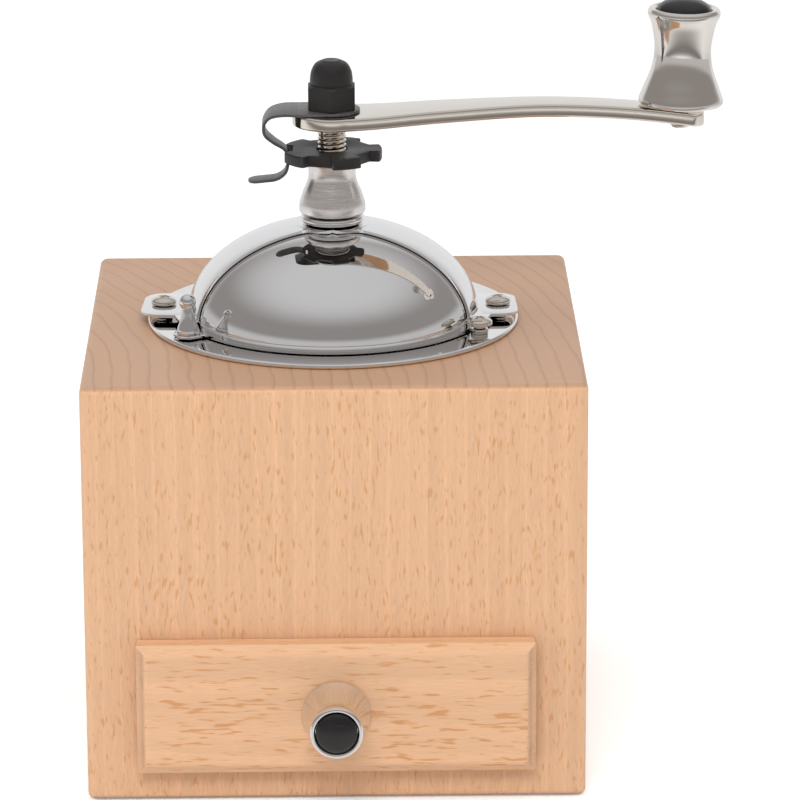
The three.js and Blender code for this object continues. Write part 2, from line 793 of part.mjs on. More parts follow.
function makeLatch() {
  const { upper, lower } = latchLine();
  const bendHalf = latchWidth * 0.85;
  const eyeStrip = solid(strip(upper, 12, latchEye * 2)).intersect(
    frontOutline([[armBottom - 3, bendHalf], [armTop - 2, bendHalf + 1], [eyeBottom - 0.3, latchEye], [eyeTop + 1, latchEye]]),
  );
  const eye = rod(latchEye, eyeBottom, eyeTop, 32);
  const hole = rod(spindleRadius + shankGap, eyeBottom - 1, eyeTop + 1, 32);
  place(mill, 'latch_eye', eyeStrip.add(solid(eye)).subtract(solid(hole)), blackPaint);
  const leafHalf = latchWidth / 2;
  const tabHalf = latchTabWidth / 2;
  const leafOutline = frontOutline([
    [wheelBottom - 8, tabHalf],
    [wheelBottom - 4.6, tabHalf],
    [wheelBottom - 2, leafHalf],
    [wheelTop + 0.8, leafHalf],
    [armBottom - 1, bendHalf],
    [armBottom + 3, bendHalf],
  ]);
  place(mill, 'latch_leaf', solid(strip(lower, 20, latchEye * 2)).intersect(leafOutline), blackPaint);
}

// A block whose front view is given by [height, half width] points, deep enough to hold the whole latch
function frontOutline(halfWidths) {
  const right = halfWidths.map(([height, half]) => [half, height]);
  const left = halfWidths.map(([height, half]) => [-half, height]).reverse();
  const reach = latchBendReach() + 10;
  const flat = prism([...right, ...left], -reach, reach);
  return solid(flat.rotateX(Math.PI / 2).rotateZ(Math.PI / 2));
}

// Drawer

// A block whose face towards -Z is drawn in on all four sides
function bevelledPanel(width, height, thickness, bevelDepth, bevelWidth) {
  const slab = new THREE.BoxGeometry(width, height, thickness - bevelDepth);
  slab.translate(0, 0, (thickness - bevelDepth) / 2);
  const face = new THREE.BoxGeometry(width, height, bevelDepth);
  const position = face.attributes.position;
  for (let i = 0; i < position.count; i += 1) {
    if (position.getZ(i) < 0) continue;
    position.setX(i, position.getX(i) - Math.sign(position.getX(i)) * bevelWidth);
    position.setY(i, position.getY(i) - Math.sign(position.getY(i)) * bevelWidth);
  }
  face.translate(0, 0, thickness - bevelDepth / 2);
  return solid(slab).add(solid(face));
}

function makeDrawer() {
  const half = drawerWidth / 2;
  const sideFront = frontBack + seatGap;
  const panel = bevelledPanel(frontWidth, frontHeight, frontThickness, frontBevelDepth, frontBevelWidth);
  const hole = solid(rod(pullScrew + shankGap, -1, frontThickness + 1, 20));
  const front = geometryOf(panel.subtract(hole)).rotateX(Math.PI / 2).translate(0, frontBack, frontMiddle);
  place(mill, 'drawer_front', front, beech);
  const inner = half - drawerWall;
  const backFace = drawerBack - drawerWall;
  const low = drawerBottom + drawerFloorRise;
  place(mill, 'drawer_side_left', block([-half, sideFront, drawerBottom], [-inner, drawerBack, drawerTop]), plainWood);
  place(mill, 'drawer_side_right', block([inner, sideFront, drawerBottom], [half, drawerBack, drawerTop]), plainWood);
  const backCorners = [[-inner + seatGap, backFace, drawerBottom], [inner - seatGap, drawerBack, drawerTop]];
  place(mill, 'drawer_back', block(...backCorners), plainWood);
  const floorBack = backFace - seatGap;
  const floorCorners = [[-inner + seatGap, sideFront, low], [inner - seatGap, floorBack, low + drawerFloor]];
  place(mill, 'drawer_floor', block(...floorCorners), plainWood);
}

function makeDrawerKnob() {
  const pull = new THREE.Group();
  pull.position.set(0, frontFace, frontMiddle);
  pull.rotation.x = Math.PI / 2;
  mill.add(pull);
  const flank = smooth([
    [pullBase, 1.4],
    [pullBase * 0.82, pullLength * 0.2],
    [pullWaist + 0.4, pullLength * 0.4],
    [pullWaist, pullLength * 0.56],
    [pullTip - 0.7, pullLength * 0.8],
    [pullTip, pullLength - 1.4],
  ], 8);
  const bore = pullScrew + shankGap;
  const recess = pullLength - pullInsertDepth;
  const shell = [[bore, seatGap], [pullBase - 0.4, seatGap], [pullBase, 0.5], ...flank];
  shell.push([pullTip - 0.3, pullLength - 0.4], [pullTip - 0.9, pullLength]);
  shell.push([pullInsert + shankGap, pullLength], [pullInsert + shankGap, recess], [bore, recess], [bore, seatGap]);
  place(pull, 'drawer_knob_shell', turned(shell), chrome);
  const crown = pullLength + pullInsertRise;
  const insert = [[0, recess + seatGap], [pullInsert, recess + seatGap], [pullInsert, pullLength + 0.2]];
  insert.push([pullInsert * 0.8, crown - 0.45], [pullInsert * 0.4, crown - 0.1], [0, crown]);
  place(pull, 'drawer_knob_insert', turned(insert, 24), blackPlastic);
  const headTop = -frontThickness - seatGap;
  const screw = [[0, headTop - pullScrewHeadHeight], [pullScrewHead * 0.6, headTop - pullScrewHeadHeight]];
  screw.push([pullScrewHead, headTop - pullScrewHeadHeight * 0.4], [pullScrewHead, headTop]);
  screw.push([pullScrew, headTop], [pullScrew, pullScrewReach], [0, pullScrewReach]);
  place(pull, 'drawer_knob_screw', turned(screw, 16), nickel);
}

// Grinding set

function makeFunnel() {
  const rimTop = caseTop - seatGap;
  const rimBottom = rimTop - funnelSheet;
  const foot = outerBurrTop + seatGap;
  const mouthInner = outerBurrMouth;
  const mouthOuter = mouthInner + funnelSheet;
  const wallOuter = wellRadius - runGap;
  const profile = [
    [mouthInner, foot],
    [mouthOuter, foot],
    [mouthOuter, foot + 2],
    [wallOuter, rimBottom - 6],
    [wallOuter, rimBottom],
    [wellRadius + funnelRim - runGap, rimBottom],
    [wellRadius + funnelRim - runGap, rimTop],
    [wallOuter - funnelSheet, rimTop],
    [wallOuter - funnelSheet, rimBottom - 6],
    [mouthInner, foot + 2],
    [mouthInner, foot],
  ];
  place(mill, 'hopper_funnel', turned(profile), satinSteel);
}

function makeOuterBurr() {
  const lugEnd = outerBurrRadius + lugReach;
  let body = solid(rod(outerBurrRadius, outerBurrBottom, outerBurrTop, 48));
  const lug = block([-lugEnd, -bridgeWidth / 2, outerBurrTop - lugThickness], [lugEnd, bridgeWidth / 2, outerBurrTop]);
  body = body.add(solid(lug));
  const bore = toothedCone([
    [outerBurrBottom - 1, outerBurrBore + toothDepth, 0],
    [outerBurrBottom + outerBurrHeight * 0.45, outerBurrThroat + toothDepth, 8],
    [outerBurrTop + 1, outerBurrMouth + toothDepth, 22],
  ], toothDepth);
  body = body.subtract(solid(bore));
  for (const side of [-1, 1]) {
    const hole = rod(bridgeScrew + shankGap, outerBurrTop - lugThickness - 1, outerBurrTop + 1, 16);
    body = body.subtract(solid(hole.translate(side * legMiddle(), 0, 0)));
  }
  place(mill, 'outer_burr', body, darkIron);
}

function legMiddle() {
  return outerBurrRadius + lugReach - bridgeLeg / 2 - 0.5;
}

// Bridge: a bar under the burrs with an upright leg at each end
function makeBridge() {
  const reach = legMiddle() + bridgeLeg / 2;
  const legTop = outerBurrTop - lugThickness - seatGap;
  const half = bridgeWidth / 2;
  let body = solid(block([-reach, -half, bridgeBottom], [reach, half, legTop]));
  const inside = reach - bridgeLeg;
  body = body.subtract(solid(block([-inside, -half - 1, bridgeBottom + bridgeThickness], [inside, half + 1, legTop + 1])));
  body = body.subtract(solid(rod(lowerBushRadius + shankGap, bridgeBottom - 1, legTop, 32)));
  for (const side of [-1, 1]) {
    const hole = rod(bridgeScrew + shankGap, legTop - bridgeScrewLength, legTop + 1, 16);
    body = body.subtract(solid(hole.translate(side * legMiddle(), 0, 0)));
    const name = side < 0 ? 'bridge_screw_left' : 'bridge_screw_right';
    place(mill, name, bridgeScrewShape().translate(side * legMiddle(), 0, 0), nickel);
  }
  place(mill, 'burr_bridge', body, satinSteel);
  const bush = tube(lowerBushRadius, spindleRadius + runGap, bridgeBottom - seatGap, lowerBushTop, 32);
  place(mill, 'lower_bush', bush, brass);
}

function bridgeScrewShape() {
  const seat = outerBurrTop + seatGap;
  return turned([
    [0, seat - bridgeScrewLength],
    [bridgeScrew, seat - bridgeScrewLength + 0.8],
    [bridgeScrew, seat],
    [bridgeScrewHead, seat],
    [bridgeScrewHead * 0.8, seat + bridgeScrewHeadHeight * 0.7],
    [0, seat + bridgeScrewHeadHeight],
  ], 12);
}

function makeInnerBurr() {
  const top = innerBurrBottom + innerBurrHeight;
  const middle = (innerBurrFoot + innerBurrTop) / 2;
  const cone = toothedCone([
    [innerBurrBottom, innerBurrFoot, 0],
    [innerBurrBottom + innerBurrHeight * 0.5, middle, -12],
    [top, innerBurrTop, -30],
  ], toothDepth);
  const bore = rod(spindleRadius + shankGap, innerBurrBottom - 1, top + 1, 32);
  let body = solid(cone).subtract(solid(bore));
  body = body.subtract(crossHole(burrPinRadius, burrPinHeight()));
  place(mill, 'inner_burr', body, darkIron);
  place(mill, 'burr_pin', crossPin(burrPinRadius, burrPinHeight(), innerBurrTop * 1.7), nickel);
}

// Spring that holds the burrs apart: a coil between the bush's nut and a washer pinned to the spindle
class Coil extends THREE.Curve {
  getPoint(t, target = new THREE.Vector3()) {
    const angle = t * springTurns * Math.PI * 2;
    const height = springBottom + springWire / 2 + t * (springLength - springWire);
    return target.set(springRadius * Math.cos(angle), springRadius * Math.sin(angle), height);
  }
}

function makeSpring() {
  const section = new THREE.Shape();
  section.absarc(0, 0, springWire / 2, 0, Math.PI * 2);
  const settings = { steps: springTurns * 12, extrudePath: new Coil(), curveSegments: 3, bevelEnabled: false };
  place(mill, 'lift_spring', new THREE.ExtrudeGeometry(section, settings), nickel);
  const seatTop = springBottom - seatGap;
  const washer = tube(springSeat, spindleRadius + shankGap, seatTop - springSeatThickness, seatTop, 32);
  place(mill, 'spring_seat', washer, nickel);
  place(mill, 'seat_pin', crossPin(seatPinRadius, seatPinHeight(), springSeat * 1.8), nickel);
}

makeCase();
makePad();
makeRing();
makeDome();
makeScrews();
makeDoor();
makeBush();
makeCollar();
makeWheel();
makeSpindle();
makeCapNut();
makeArm();
makeCrankKnob();
makeLatch();
makeDrawer();
makeDrawerKnob();
makeFunnel();
makeOuterBurr();
makeBridge();
makeInnerBurr();
makeSpring();

export default mill;
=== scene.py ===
"""Hand crank coffee mill: fine visible surfaces and finishes of its wooden case, chrome hopper and crank.

Lengths inside the shape functions are in millimetres; a mesh is scaled to metres when it is made.
"""
import math

import bpy
import numpy as np
from bpy.props import FloatProperty, FloatVectorProperty, IntProperty, PointerProperty
from mathutils import Matrix, Vector


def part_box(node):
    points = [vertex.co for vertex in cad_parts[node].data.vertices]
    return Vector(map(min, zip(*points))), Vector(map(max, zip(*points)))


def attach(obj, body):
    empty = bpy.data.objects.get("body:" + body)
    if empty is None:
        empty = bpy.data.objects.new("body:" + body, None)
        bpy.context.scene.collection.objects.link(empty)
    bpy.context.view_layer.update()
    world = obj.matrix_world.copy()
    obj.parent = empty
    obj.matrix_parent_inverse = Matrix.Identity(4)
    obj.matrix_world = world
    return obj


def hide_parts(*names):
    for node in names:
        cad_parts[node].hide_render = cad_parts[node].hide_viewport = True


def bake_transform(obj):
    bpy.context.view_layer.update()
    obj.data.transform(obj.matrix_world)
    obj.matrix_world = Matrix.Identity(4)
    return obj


bl_info = {
    "name": "Coffee Mill Surfaces",
    "version": (1, 0, 0),
    "blender": (4, 5, 0),
    "location": "View3D > Sidebar > Mill",
    "description": "Builds the fine surfaces and finishes of a hand crank coffee mill",
    "category": "Add Mesh",
}

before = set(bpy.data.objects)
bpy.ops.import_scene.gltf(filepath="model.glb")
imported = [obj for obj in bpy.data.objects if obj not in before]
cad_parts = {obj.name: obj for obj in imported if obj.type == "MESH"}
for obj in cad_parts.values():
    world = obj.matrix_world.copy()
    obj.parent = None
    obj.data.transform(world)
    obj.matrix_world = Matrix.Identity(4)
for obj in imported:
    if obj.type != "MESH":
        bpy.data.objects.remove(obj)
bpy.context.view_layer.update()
MM = 0.001


def box_mm(node):
    """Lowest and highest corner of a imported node, in millimetres."""
    low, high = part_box(node)
    return np.array(low) / MM, np.array(high) / MM


# ---------------------------------------------------------------- curves


def rounded(points, radii, steps=6):
    """Closed outline whose corners are arcs.

    A corner P between unit directions u and v, with an angle a between them, becomes the rational
    quadratic curve from P + t u to P + t v with middle weight sin(a / 2), which is an arc of radius
    r when t = r / tan(a / 2). t is limited to 0.48 of the shorter side.
    """
    p = np.array(points, float)
    before = np.roll(p, 1, 0) - p
    after = np.roll(p, -1, 0) - p
    long_before = np.linalg.norm(before, axis=1)
    long_after = np.linalg.norm(after, axis=1)
    u = before / long_before[:, None]
    v = after / long_after[:, None]
    half = np.arccos(np.clip((u * v).sum(1), -1, 1)) / 2
    radius = np.broadcast_to(np.asarray(radii, float), half.shape)
    reach = np.minimum(radius / np.tan(np.maximum(half, 1e-3)), 0.48 * np.minimum(long_before, long_after))
    start = p + u * reach[:, None]
    end = p + v * reach[:, None]
    s = np.linspace(0, 1, steps)[None, :, None]
    weight = np.sin(half)[:, None, None]
    top = (1 - s) ** 2 * start[:, None] + 2 * s * (1 - s) * weight * p[:, None] + s**2 * end[:, None]
    arcs = top / ((1 - s) ** 2 + 2 * s * (1 - s) * weight + s**2)
    flat = arcs.reshape(-1, p.shape[1])
    keep = np.linalg.norm(flat - np.roll(flat, 1, 0), axis=1) > 1e-4
    return flat[keep]


def spline(points, count):
    """Uniform Catmull-Rom curve through the points, sampled count times; its ends repeat a point."""
    p = np.array(points, float)
    t = np.linspace(0, len(p) - 1, count)
    i = np.minimum(t.astype(int), len(p) - 2)
    f = (t - i)[:, None]
    last = len(p) - 1
    a, b, c, d = p[np.maximum(i - 1, 0)], p[i], p[i + 1], p[np.minimum(i + 2, last)]
    m, n = (c - a) / 2, (d - b) / 2
    return (2 * b - 2 * c + m + n) * f**3 + (3 * c - 3 * b - 2 * m - n) * f**2 + m * f + b


def ease(t):
    """0 below 0, 1 above 1 and 3 t^2 - 2 t^3 between."""
    t = np.clip(t, 0, 1)
    return t * t * (3 - 2 * t)


def soft_min(a, b, width):
    """The lesser of a and b, with a rounded change over about the given width."""
    h = np.clip(0.5 + 0.5 * (b - a) / width, 0, 1)
    return b + (a - b) * h - width * h * (1 - h)


# ---------------------------------------------------------------- meshes


def mesh_object(name, vertices, faces, material, sharp=32):
    """Mesh object from vertices in millimetres and lists of faces, smooth below the sharp angle."""
    mesh = bpy.data.meshes.new(name)
    mesh.from_pydata(np.asarray(vertices, float) * MM, [], faces)
    mesh.validate(clean_customdata=False)
    mesh.materials.append(material)
    mesh.shade_smooth()
    mesh.set_sharp_from_angle(angle=math.radians(sharp))
    made = bpy.data.objects.new(name, mesh)
    bpy.context.scene.collection.objects.link(made)
    return made


def full_turn(count):
    """Equal steps of angle round a circle."""
    return np.linspace(0, 2 * math.pi, count, endpoint=False)


def swept(radius, angle, height):
    """Points at each radius, angle and height round the Z axis."""
    return np.stack([radius * np.cos(angle), radius * np.sin(angle), height + 0 * angle], -1)


def middle_of(low, high, height=0):
    """Middle of a box in plan, at the given height."""
    return (low[0] + high[0]) / 2, (low[1] + high[1]) / 2, height


def grid_faces(rows, cols, wrap_rows=False, wrap_cols=False, first=0):
    """Four-sided faces of a rows x cols grid of vertices numbered row by row."""
    r = np.arange(rows if wrap_rows else rows - 1)[:, None]
    c = np.arange(cols if wrap_cols else cols - 1)[None, :]
    r2, c2 = (r + 1) % rows, (c + 1) % cols
    quads = np.stack([r * cols + c, r * cols + c2, r2 * cols + c2, r2 * cols + c], -1)
    return (quads.reshape(-1, 4) + first).tolist()


def closed_by_poles(grid, foot, crown):
    """Vertices and faces of a round grid whose ends are closed by one vertex each, on the axis."""
    rows, cols = grid.shape[:2]
    vertices = np.vstack([grid.reshape(-1, 3), [0, 0, foot], [0, 0, crown]])
    a = np.arange(cols)
    b = (a + 1) % cols
    last = (rows - 1) * cols
    first_pole = np.stack([b, a, np.full(cols, len(vertices) - 2)], -1)
    last_pole = np.stack([last + a, last + b, np.full(cols, len(vertices) - 1)], -1)
    return vertices, grid_faces(rows, cols, wrap_cols=True) + first_pole.tolist() + last_pole.tolist()


def turned(name, profile, material, segments=96, at=(0, 0, 0), turn=None, sharp=32):
    """Surface of revolution of a closed [radius, height] profile that goes up the outside.

    The point is (r cos a, r sin a, h) for each angle a. A profile that meets the axis is closed there by
    one pole vertex, and one that doesn't is a ring.
    """
    p = np.array(profile, float)
    pole = p[:, 0] < 1e-6
    body = p[~pole]
    grid = swept(body[:, :1], full_turn(segments), body[:, 1:])
    if pole.any():
        vertices, faces = closed_by_poles(grid, p[0, 1], p[-1, 1])
    else:
        vertices, faces = grid.reshape(-1, 3), grid_faces(len(body), segments, True, True)
    return mesh_object(name, placed(vertices, at, turn), faces, material, sharp)


def placed(vertices, at=(0, 0, 0), turn=None):
    """The vertices turned by a 3 x 3 matrix and moved."""
    v = np.asarray(vertices, float)
    if turn is not None:
        v = v @ np.array(turn).T
    return v + np.array(at, float)


def shell(name, outer, inner, material, wrap=False, sharp=32):
    """Closed sheet between two grids of the same rows x cols, outer seen from outside.

    The faces of inner are turned round, and the open sides are closed by strips from outer to inner.
    """
    rows, cols = outer.shape[:2]
    half = rows * cols
    faces = grid_faces(rows, cols, wrap_cols=wrap)
    faces += [face[::-1] for face in grid_faces(rows, cols, wrap_cols=wrap, first=half)]
    index = np.arange(half).reshape(rows, cols)
    sides = [index[0][::-1], index[-1]]
    if wrap:
        sides = [np.append(side, side[0]) for side in sides]
    else:
        sides += [index[:, 0], index[:, -1][::-1]]
    for side in sides:
        a, b = side[:-1], side[1:]
        faces += np.stack([a, b, b + half, a + half], -1).tolist()
    vertices = np.vstack([outer.reshape(-1, 3), inner.reshape(-1, 3)])
    return mesh_object(name, vertices, faces, material, sharp)


def lofted(name, sections, material, sharp=32):
    """Solid through sections of equally many points, each section counter-clockwise seen from the last."""
    rows, cols = sections.shape[:2]
    faces = grid_faces(rows, cols, wrap_cols=True)
    faces.append(list(range(cols))[::-1])
    faces.append(list(range((rows - 1) * cols, rows * cols)))
    return mesh_object(name, sections.reshape(-1, 3), faces, material, sharp)


def finished(made):
    """Applies the modifiers of an object to its mesh."""
    view = bpy.context.evaluated_depsgraph_get()
    mesh = bpy.data.meshes.new_from_object(made.evaluated_get(view))
    made.modifiers.clear()
    old = made.data
    made.data = mesh
    bpy.data.meshes.remove(old)
    return made


def cut(made, tools, sharp=32):
    """Takes the tool solids away from made, by exact booleans, and removes them."""
    for tool in tools:
        change = made.modifiers.new("cut", "BOOLEAN")
        change.operation = "DIFFERENCE"
        change.solver = "EXACT"
        change.object = tool
    finished(made)
    for tool in tools:
        bpy.data.objects.remove(tool)
    made.data.shade_smooth()
    made.data.set_sharp_from_angle(angle=math.radians(sharp))
    return made


def bevelled(made, width, segments=3, angle=40):
    """Rounds the sharp edges of a piece, in millimetres."""
    change = made.modifiers.new("edges", "BEVEL")
    change.width = width * MM
    change.segments = segments
    change.limit_method = "ANGLE"
    change.angle_limit = math.radians(angle)
    change.harden_normals = True
    return finished(made)


def kept(made, body, slot, *nodes):
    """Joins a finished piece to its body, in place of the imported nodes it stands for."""
    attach(made, body)
    if nodes:
        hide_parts(*nodes)
    return made


def slab_sections(width, depth, corner, layers, arc=8, support=0.4):
    """Rounded rectangles in plan, one for each (inset, height) layer, with as many points each.

    A layer's outline is the rectangle less its inset on every side, and its corner radius is the
    corner less the inset, so that the corners stay round all the way up.
    """
    quarter = np.linspace(0, math.pi / 2, arc)
    rows = []
    for inset, height in layers:
        radius = max(corner - inset, 0.02)
        x = width / 2 - inset - radius
        y = depth / 2 - inset - radius
        ring = []
        for turn, (sx, sy) in enumerate([(1, 1), (-1, 1), (-1, -1), (1, -1)]):
            a = quarter + turn * math.pi / 2
            points = np.stack([sx * x + radius * np.cos(a), sy * y + radius * np.sin(a)], -1)
            before = points[0] - support * np.array([-math.sin(a[0]), math.cos(a[0])])
            after = points[-1] + support * np.array([-math.sin(a[-1]), math.cos(a[-1])])
            ring.append(np.vstack([before, points, after]))
        outline = np.vstack(ring)
        rows.append(np.column_stack([outline, np.full(len(outline), height)]))
    return np.array(rows)


def edge_layers(low, high, edge, steps=7, support=0.4, low_edge=None):
    """(inset, height) layers of a slab with quarter-round edges: inset = r (1 - cos a), height = r sin a."""
    low_edge = edge if low_edge is None else low_edge
    a = np.linspace(0, math.pi / 2, steps)
    below = [(low_edge + support, low)]
    below += [(low_edge * (1 - math.sin(t)), low + low_edge * (1 - math.cos(t))) for t in a]
    above = [(edge * (1 - math.cos(t)), high - edge * (1 - math.sin(t))) for t in a]
    middle = [(0, low + low_edge + support), (0, high - edge - support)]
    return below + middle + above + [(edge + support, high)]


# ---------------------------------------------------------------- finishes


class Tree:
    """Short way to build a node tree: add a node, with values or other nodes' sockets for its inputs."""

    def __init__(self, tree):
        self.tree = tree

    def add(self, kind, inputs=None, out=0, **settings):
        """Adds a node and returns one of its outputs."""
        node = self.tree.nodes.new(kind)
        for key, value in settings.items():
            setattr(node, key, value)
        for key, value in (inputs or {}).items():
            socket = node.inputs[key]
            if isinstance(value, bpy.types.NodeSocket):
                self.link(value, socket)
            else:
                socket.default_value = value
        return node.outputs[out]

    def link(self, output, socket):
        """Joins an output to a socket."""
        self.tree.links.new(output, socket)

    def math(self, operation, a, b=0.0):
        """Math node of two values."""
        return self.add("ShaderNodeMath", {0: a, 1: b}, operation=operation)

    def plus(self, a, b, share):
        """a plus a share of b."""
        return self.math("ADD", a, self.math("MULTIPLY", b, share))

    def vector(self, operation, a, b=(0, 0, 0)):
        """Vector math node of two vectors."""
        return self.add("ShaderNodeVectorMath", {0: a, 1: b}, operation=operation)

    def range(self, value, low, high, to_low=0.0, to_high=1.0, smooth=False):
        """Straight or smooth change from to_low at low to to_high at high."""
        kind = "SMOOTHSTEP" if smooth else "LINEAR"
        settings = {"Value": value, 1: low, 2: high, 3: to_low, 4: to_high}
        return self.add("ShaderNodeMapRange", settings, interpolation_type=kind)

    def noise(self, vector, scale, detail=2.0, rough=0.5, distortion=0.0):
        """Noise texture, from 0 to 1."""
        values = {
            "Vector": vector, "Scale": scale, "Detail": detail, "Roughness": rough, "Distortion": distortion
        }
        return self.add("ShaderNodeTexNoise", values)

    def mix(self, factor, a, b, blend="MIX"):
        """Mix of two colours."""
        return self.add("ShaderNodeMix", {0: factor, 6: a, 7: b}, out=2, data_type="RGBA", blend_type=blend)

    def tones(self, mask, colour, dark, light, low=0.3, high=0.7):
        """A colour that goes from a darker to a lighter shade of itself as the mask rises."""
        return self.mix(self.range(mask, low, high), shade(colour, dark), shade(colour, light))

    def bump(self, height, strength, distance):
        """Normal of a bumpy surface."""
        return self.add("ShaderNodeBump", {"Height": height, "Strength": strength, "Distance": distance})


def group_tree(name, inputs, outputs):
    """New node group; inputs and outputs are (name, socket type, default) rows."""
    tree = bpy.data.node_groups.new(name, "ShaderNodeTree")
    for label, kind, default in inputs:
        socket = tree.interface.new_socket(label, in_out="INPUT", socket_type="NodeSocket" + kind)
        if default is not None:
            socket.default_value = default
    for label, kind in outputs:
        tree.interface.new_socket(label, in_out="OUTPUT", socket_type="NodeSocket" + kind)
    entry = tree.nodes.new("NodeGroupInput").outputs
    leave = tree.nodes.new("NodeGroupOutput").inputs
    return Tree(tree), entry, leave


def wood_group():
    """Solid beech: Along runs with the grain on Z, and the growth rings turn about an upright pith line.

    Ring phase is the distance from the pith over the ring width, slightly wavy. Rays are short flecks,
    long in Z and thin across, and on end grain they fade to fine dots.
    """
    rows = [
        ("Vector", "Vector", None),
        ("Pith X", "Float", -0.25),
        ("Pith Y", "Float", -0.065),
        ("Ring Width", "Float", 0.0052),
        ("Fleck Length", "Float", 0.0016),
        ("Fleck Width", "Float", 0.0004),
        ("End Grain", "Float", 0.0),
    ]
    t, g, leave = group_tree(
        "beech_figure",
        rows,
        [("Rings", "Float"), ("Flecks", "Float"), ("Bands", "Float"), ("Pores", "Float")],
    )
    parts = t.add("ShaderNodeSeparateXYZ", {0: g["Vector"]}).node.outputs
    drift = t.noise(t.vector("MULTIPLY", g["Vector"], (1, 1, 0.25)), 28, 2)
    wander = t.math("MULTIPLY", t.math("SUBTRACT", drift, 0.5), 0.006)
    dx = t.math("SUBTRACT", parts[0], g["Pith X"])
    dy = t.math("SUBTRACT", parts[1], g["Pith Y"])
    squared = t.math("ADD", t.math("MULTIPLY", dx, dx), t.math("MULTIPLY", dy, dy))
    reach = t.math("ADD", t.math("SQRT", squared), wander)
    phase = t.math("FRACT", t.math("DIVIDE", reach, g["Ring Width"]))
    rise = t.range(phase, 0.72, 0.97, smooth=True)
    fall = t.range(phase, 0.97, 1.0, 1.0, 0.0, smooth=True)
    t.link(t.math("MULTIPLY", rise, fall), leave["Rings"])
    across = t.math("DIVIDE", 1.0, g["Fleck Width"])
    along = t.math("DIVIDE", 1.0, g["Fleck Length"])
    wave = t.noise(t.vector("MULTIPLY", g["Vector"], (1, 1, 0.6)), 190, 1)
    sway = t.math("MULTIPLY", t.math("SUBTRACT", wave, 0.5), 0.0016)
    stretch = t.add("ShaderNodeCombineXYZ", {
        0: t.math("MULTIPLY", t.math("ADD", parts[0], sway), across),
        1: t.math("MULTIPLY", parts[1], across),
        2: t.math("MULTIPLY", parts[2], along),
    })
    cells = t.noise(stretch, 0.62, 1, 0.4)
    patches = t.noise(t.vector("MULTIPLY", g["Vector"], (1, 1, 0.5)), 75, 1)
    level = t.range(patches, 0.35, 0.7, 0.62, 0.545)
    over = t.math("SUBTRACT", cells, level)
    flecks = t.range(over, 0.0, 0.15, smooth=True)
    side = t.math("SUBTRACT", 1.0, t.math("MULTIPLY", g["End Grain"], 0.85))
    t.link(t.math("MULTIPLY", flecks, side), leave["Flecks"])
    band_at = t.add(
        "ShaderNodeCombineXYZ", {0: t.math("MULTIPLY", reach, 230), 2: t.math("MULTIPLY", parts[2], 3.0)}
    )
    t.link(t.noise(band_at, 1.0, 3, 0.6), leave["Bands"])
    fine = t.vector("MULTIPLY", stretch, (2.2, 2.2, 0.6))
    t.link(t.noise(fine, 1.0, 2, 0.6), leave["Pores"])
    return t.tree


def wear_group():
    """Handling marks: soft smudges, fine scratches and dust, as masks from 0 to 1."""
    rows = [("Vector", "Vector", None), ("Smudge Size", "Float", 60.0), ("Scratch Size", "Float", 900.0)]
    t, g, leave = group_tree(
        "handling_marks", rows, [("Smudges", "Float"), ("Scratches", "Float"), ("Dust", "Float")]
    )
    broad = t.noise(g["Vector"], g["Smudge Size"], 3, 0.55, 0.4)
    t.link(t.range(broad, 0.45, 0.75, smooth=True), leave["Smudges"])
    stretched = t.vector("MULTIPLY", g["Vector"], (1.0, 0.12, 0.35))
    lines = t.noise(stretched, g["Scratch Size"], 1, 0.3, 0.2)
    t.link(t.range(lines, 0.70, 0.78, smooth=True), leave["Scratches"])
    specks = t.noise(g["Vector"], 2400.0, 1, 0.5)
    t.link(t.range(specks, 0.72, 0.8, smooth=True), leave["Dust"])
    return t.tree


def rubbed_group():
    """Rubbed edges: 1 where the surface turns sharply outwards, broken up by a fine noise."""
    rows = [("Vector", "Vector", None), ("Pointiness", "Float", 0.5), ("Reach", "Float", 0.06)]
    t, g, leave = group_tree("rubbed_edges", rows, [("Edges", "Float")])
    top = t.math("ADD", g["Reach"], 0.5)
    bare = t.range(g["Pointiness"], 0.51, top, smooth=True)
    broken = t.range(t.noise(g["Vector"], 700.0, 3, 0.65), 0.35, 0.6, smooth=True)
    t.link(t.math("MULTIPLY", bare, broken), leave["Edges"])
    return t.tree


class Finish:
    """A material with one Principled BSDF and its object coordinates at hand."""

    def __init__(self, name, colour, metallic=0.0, roughness=0.5, **constants):
        self.material = bpy.data.materials.new(name)
        self.material.use_nodes = True
        self.material.diffuse_color = (*colour[:3], 1)
        tree = self.material.node_tree
        self.shader = tree.nodes["Principled BSDF"]
        self.tree = Tree(tree)
        self.place = self.tree.add("ShaderNodeTexCoord", out=3)
        self.colour = (*colour[:3], 1)
        self.set("Base Color", self.colour)
        self.set("Metallic", metallic)
        self.set("Roughness", roughness)
        for socket, value in constants.items():
            self.set(socket.replace("_", " "), value)

    def set(self, socket, value):
        """Sets a socket of the shader, or links another node's output to it."""
        target = self.shader.inputs[socket]
        if isinstance(value, bpy.types.NodeSocket):
            self.tree.link(value, target)
        else:
            target.default_value = value

    def group(self, name, **inputs):
        """Adds a node group on the object coordinates and returns its outputs."""
        node = self.tree.tree.nodes.new("ShaderNodeGroup")
        node.node_tree = GROUPS[name]
        self.tree.link(self.place, node.inputs["Vector"])
        for label, value in inputs.items():
            socket = node.inputs[label.replace("_", " ")]
            if isinstance(value, bpy.types.NodeSocket):
                self.tree.link(value, socket)
            else:
                socket.default_value = value
        return node.outputs

    def rubbed(self, reach):
        """Mask of the edges that turn sharply outwards."""
        pointiness = self.tree.add("ShaderNodeNewGeometry", out=7)
        return self.group("rubbed_edges", Pointiness=pointiness, Reach=reach)["Edges"]


GROUPS = {}
FINISHES = {}


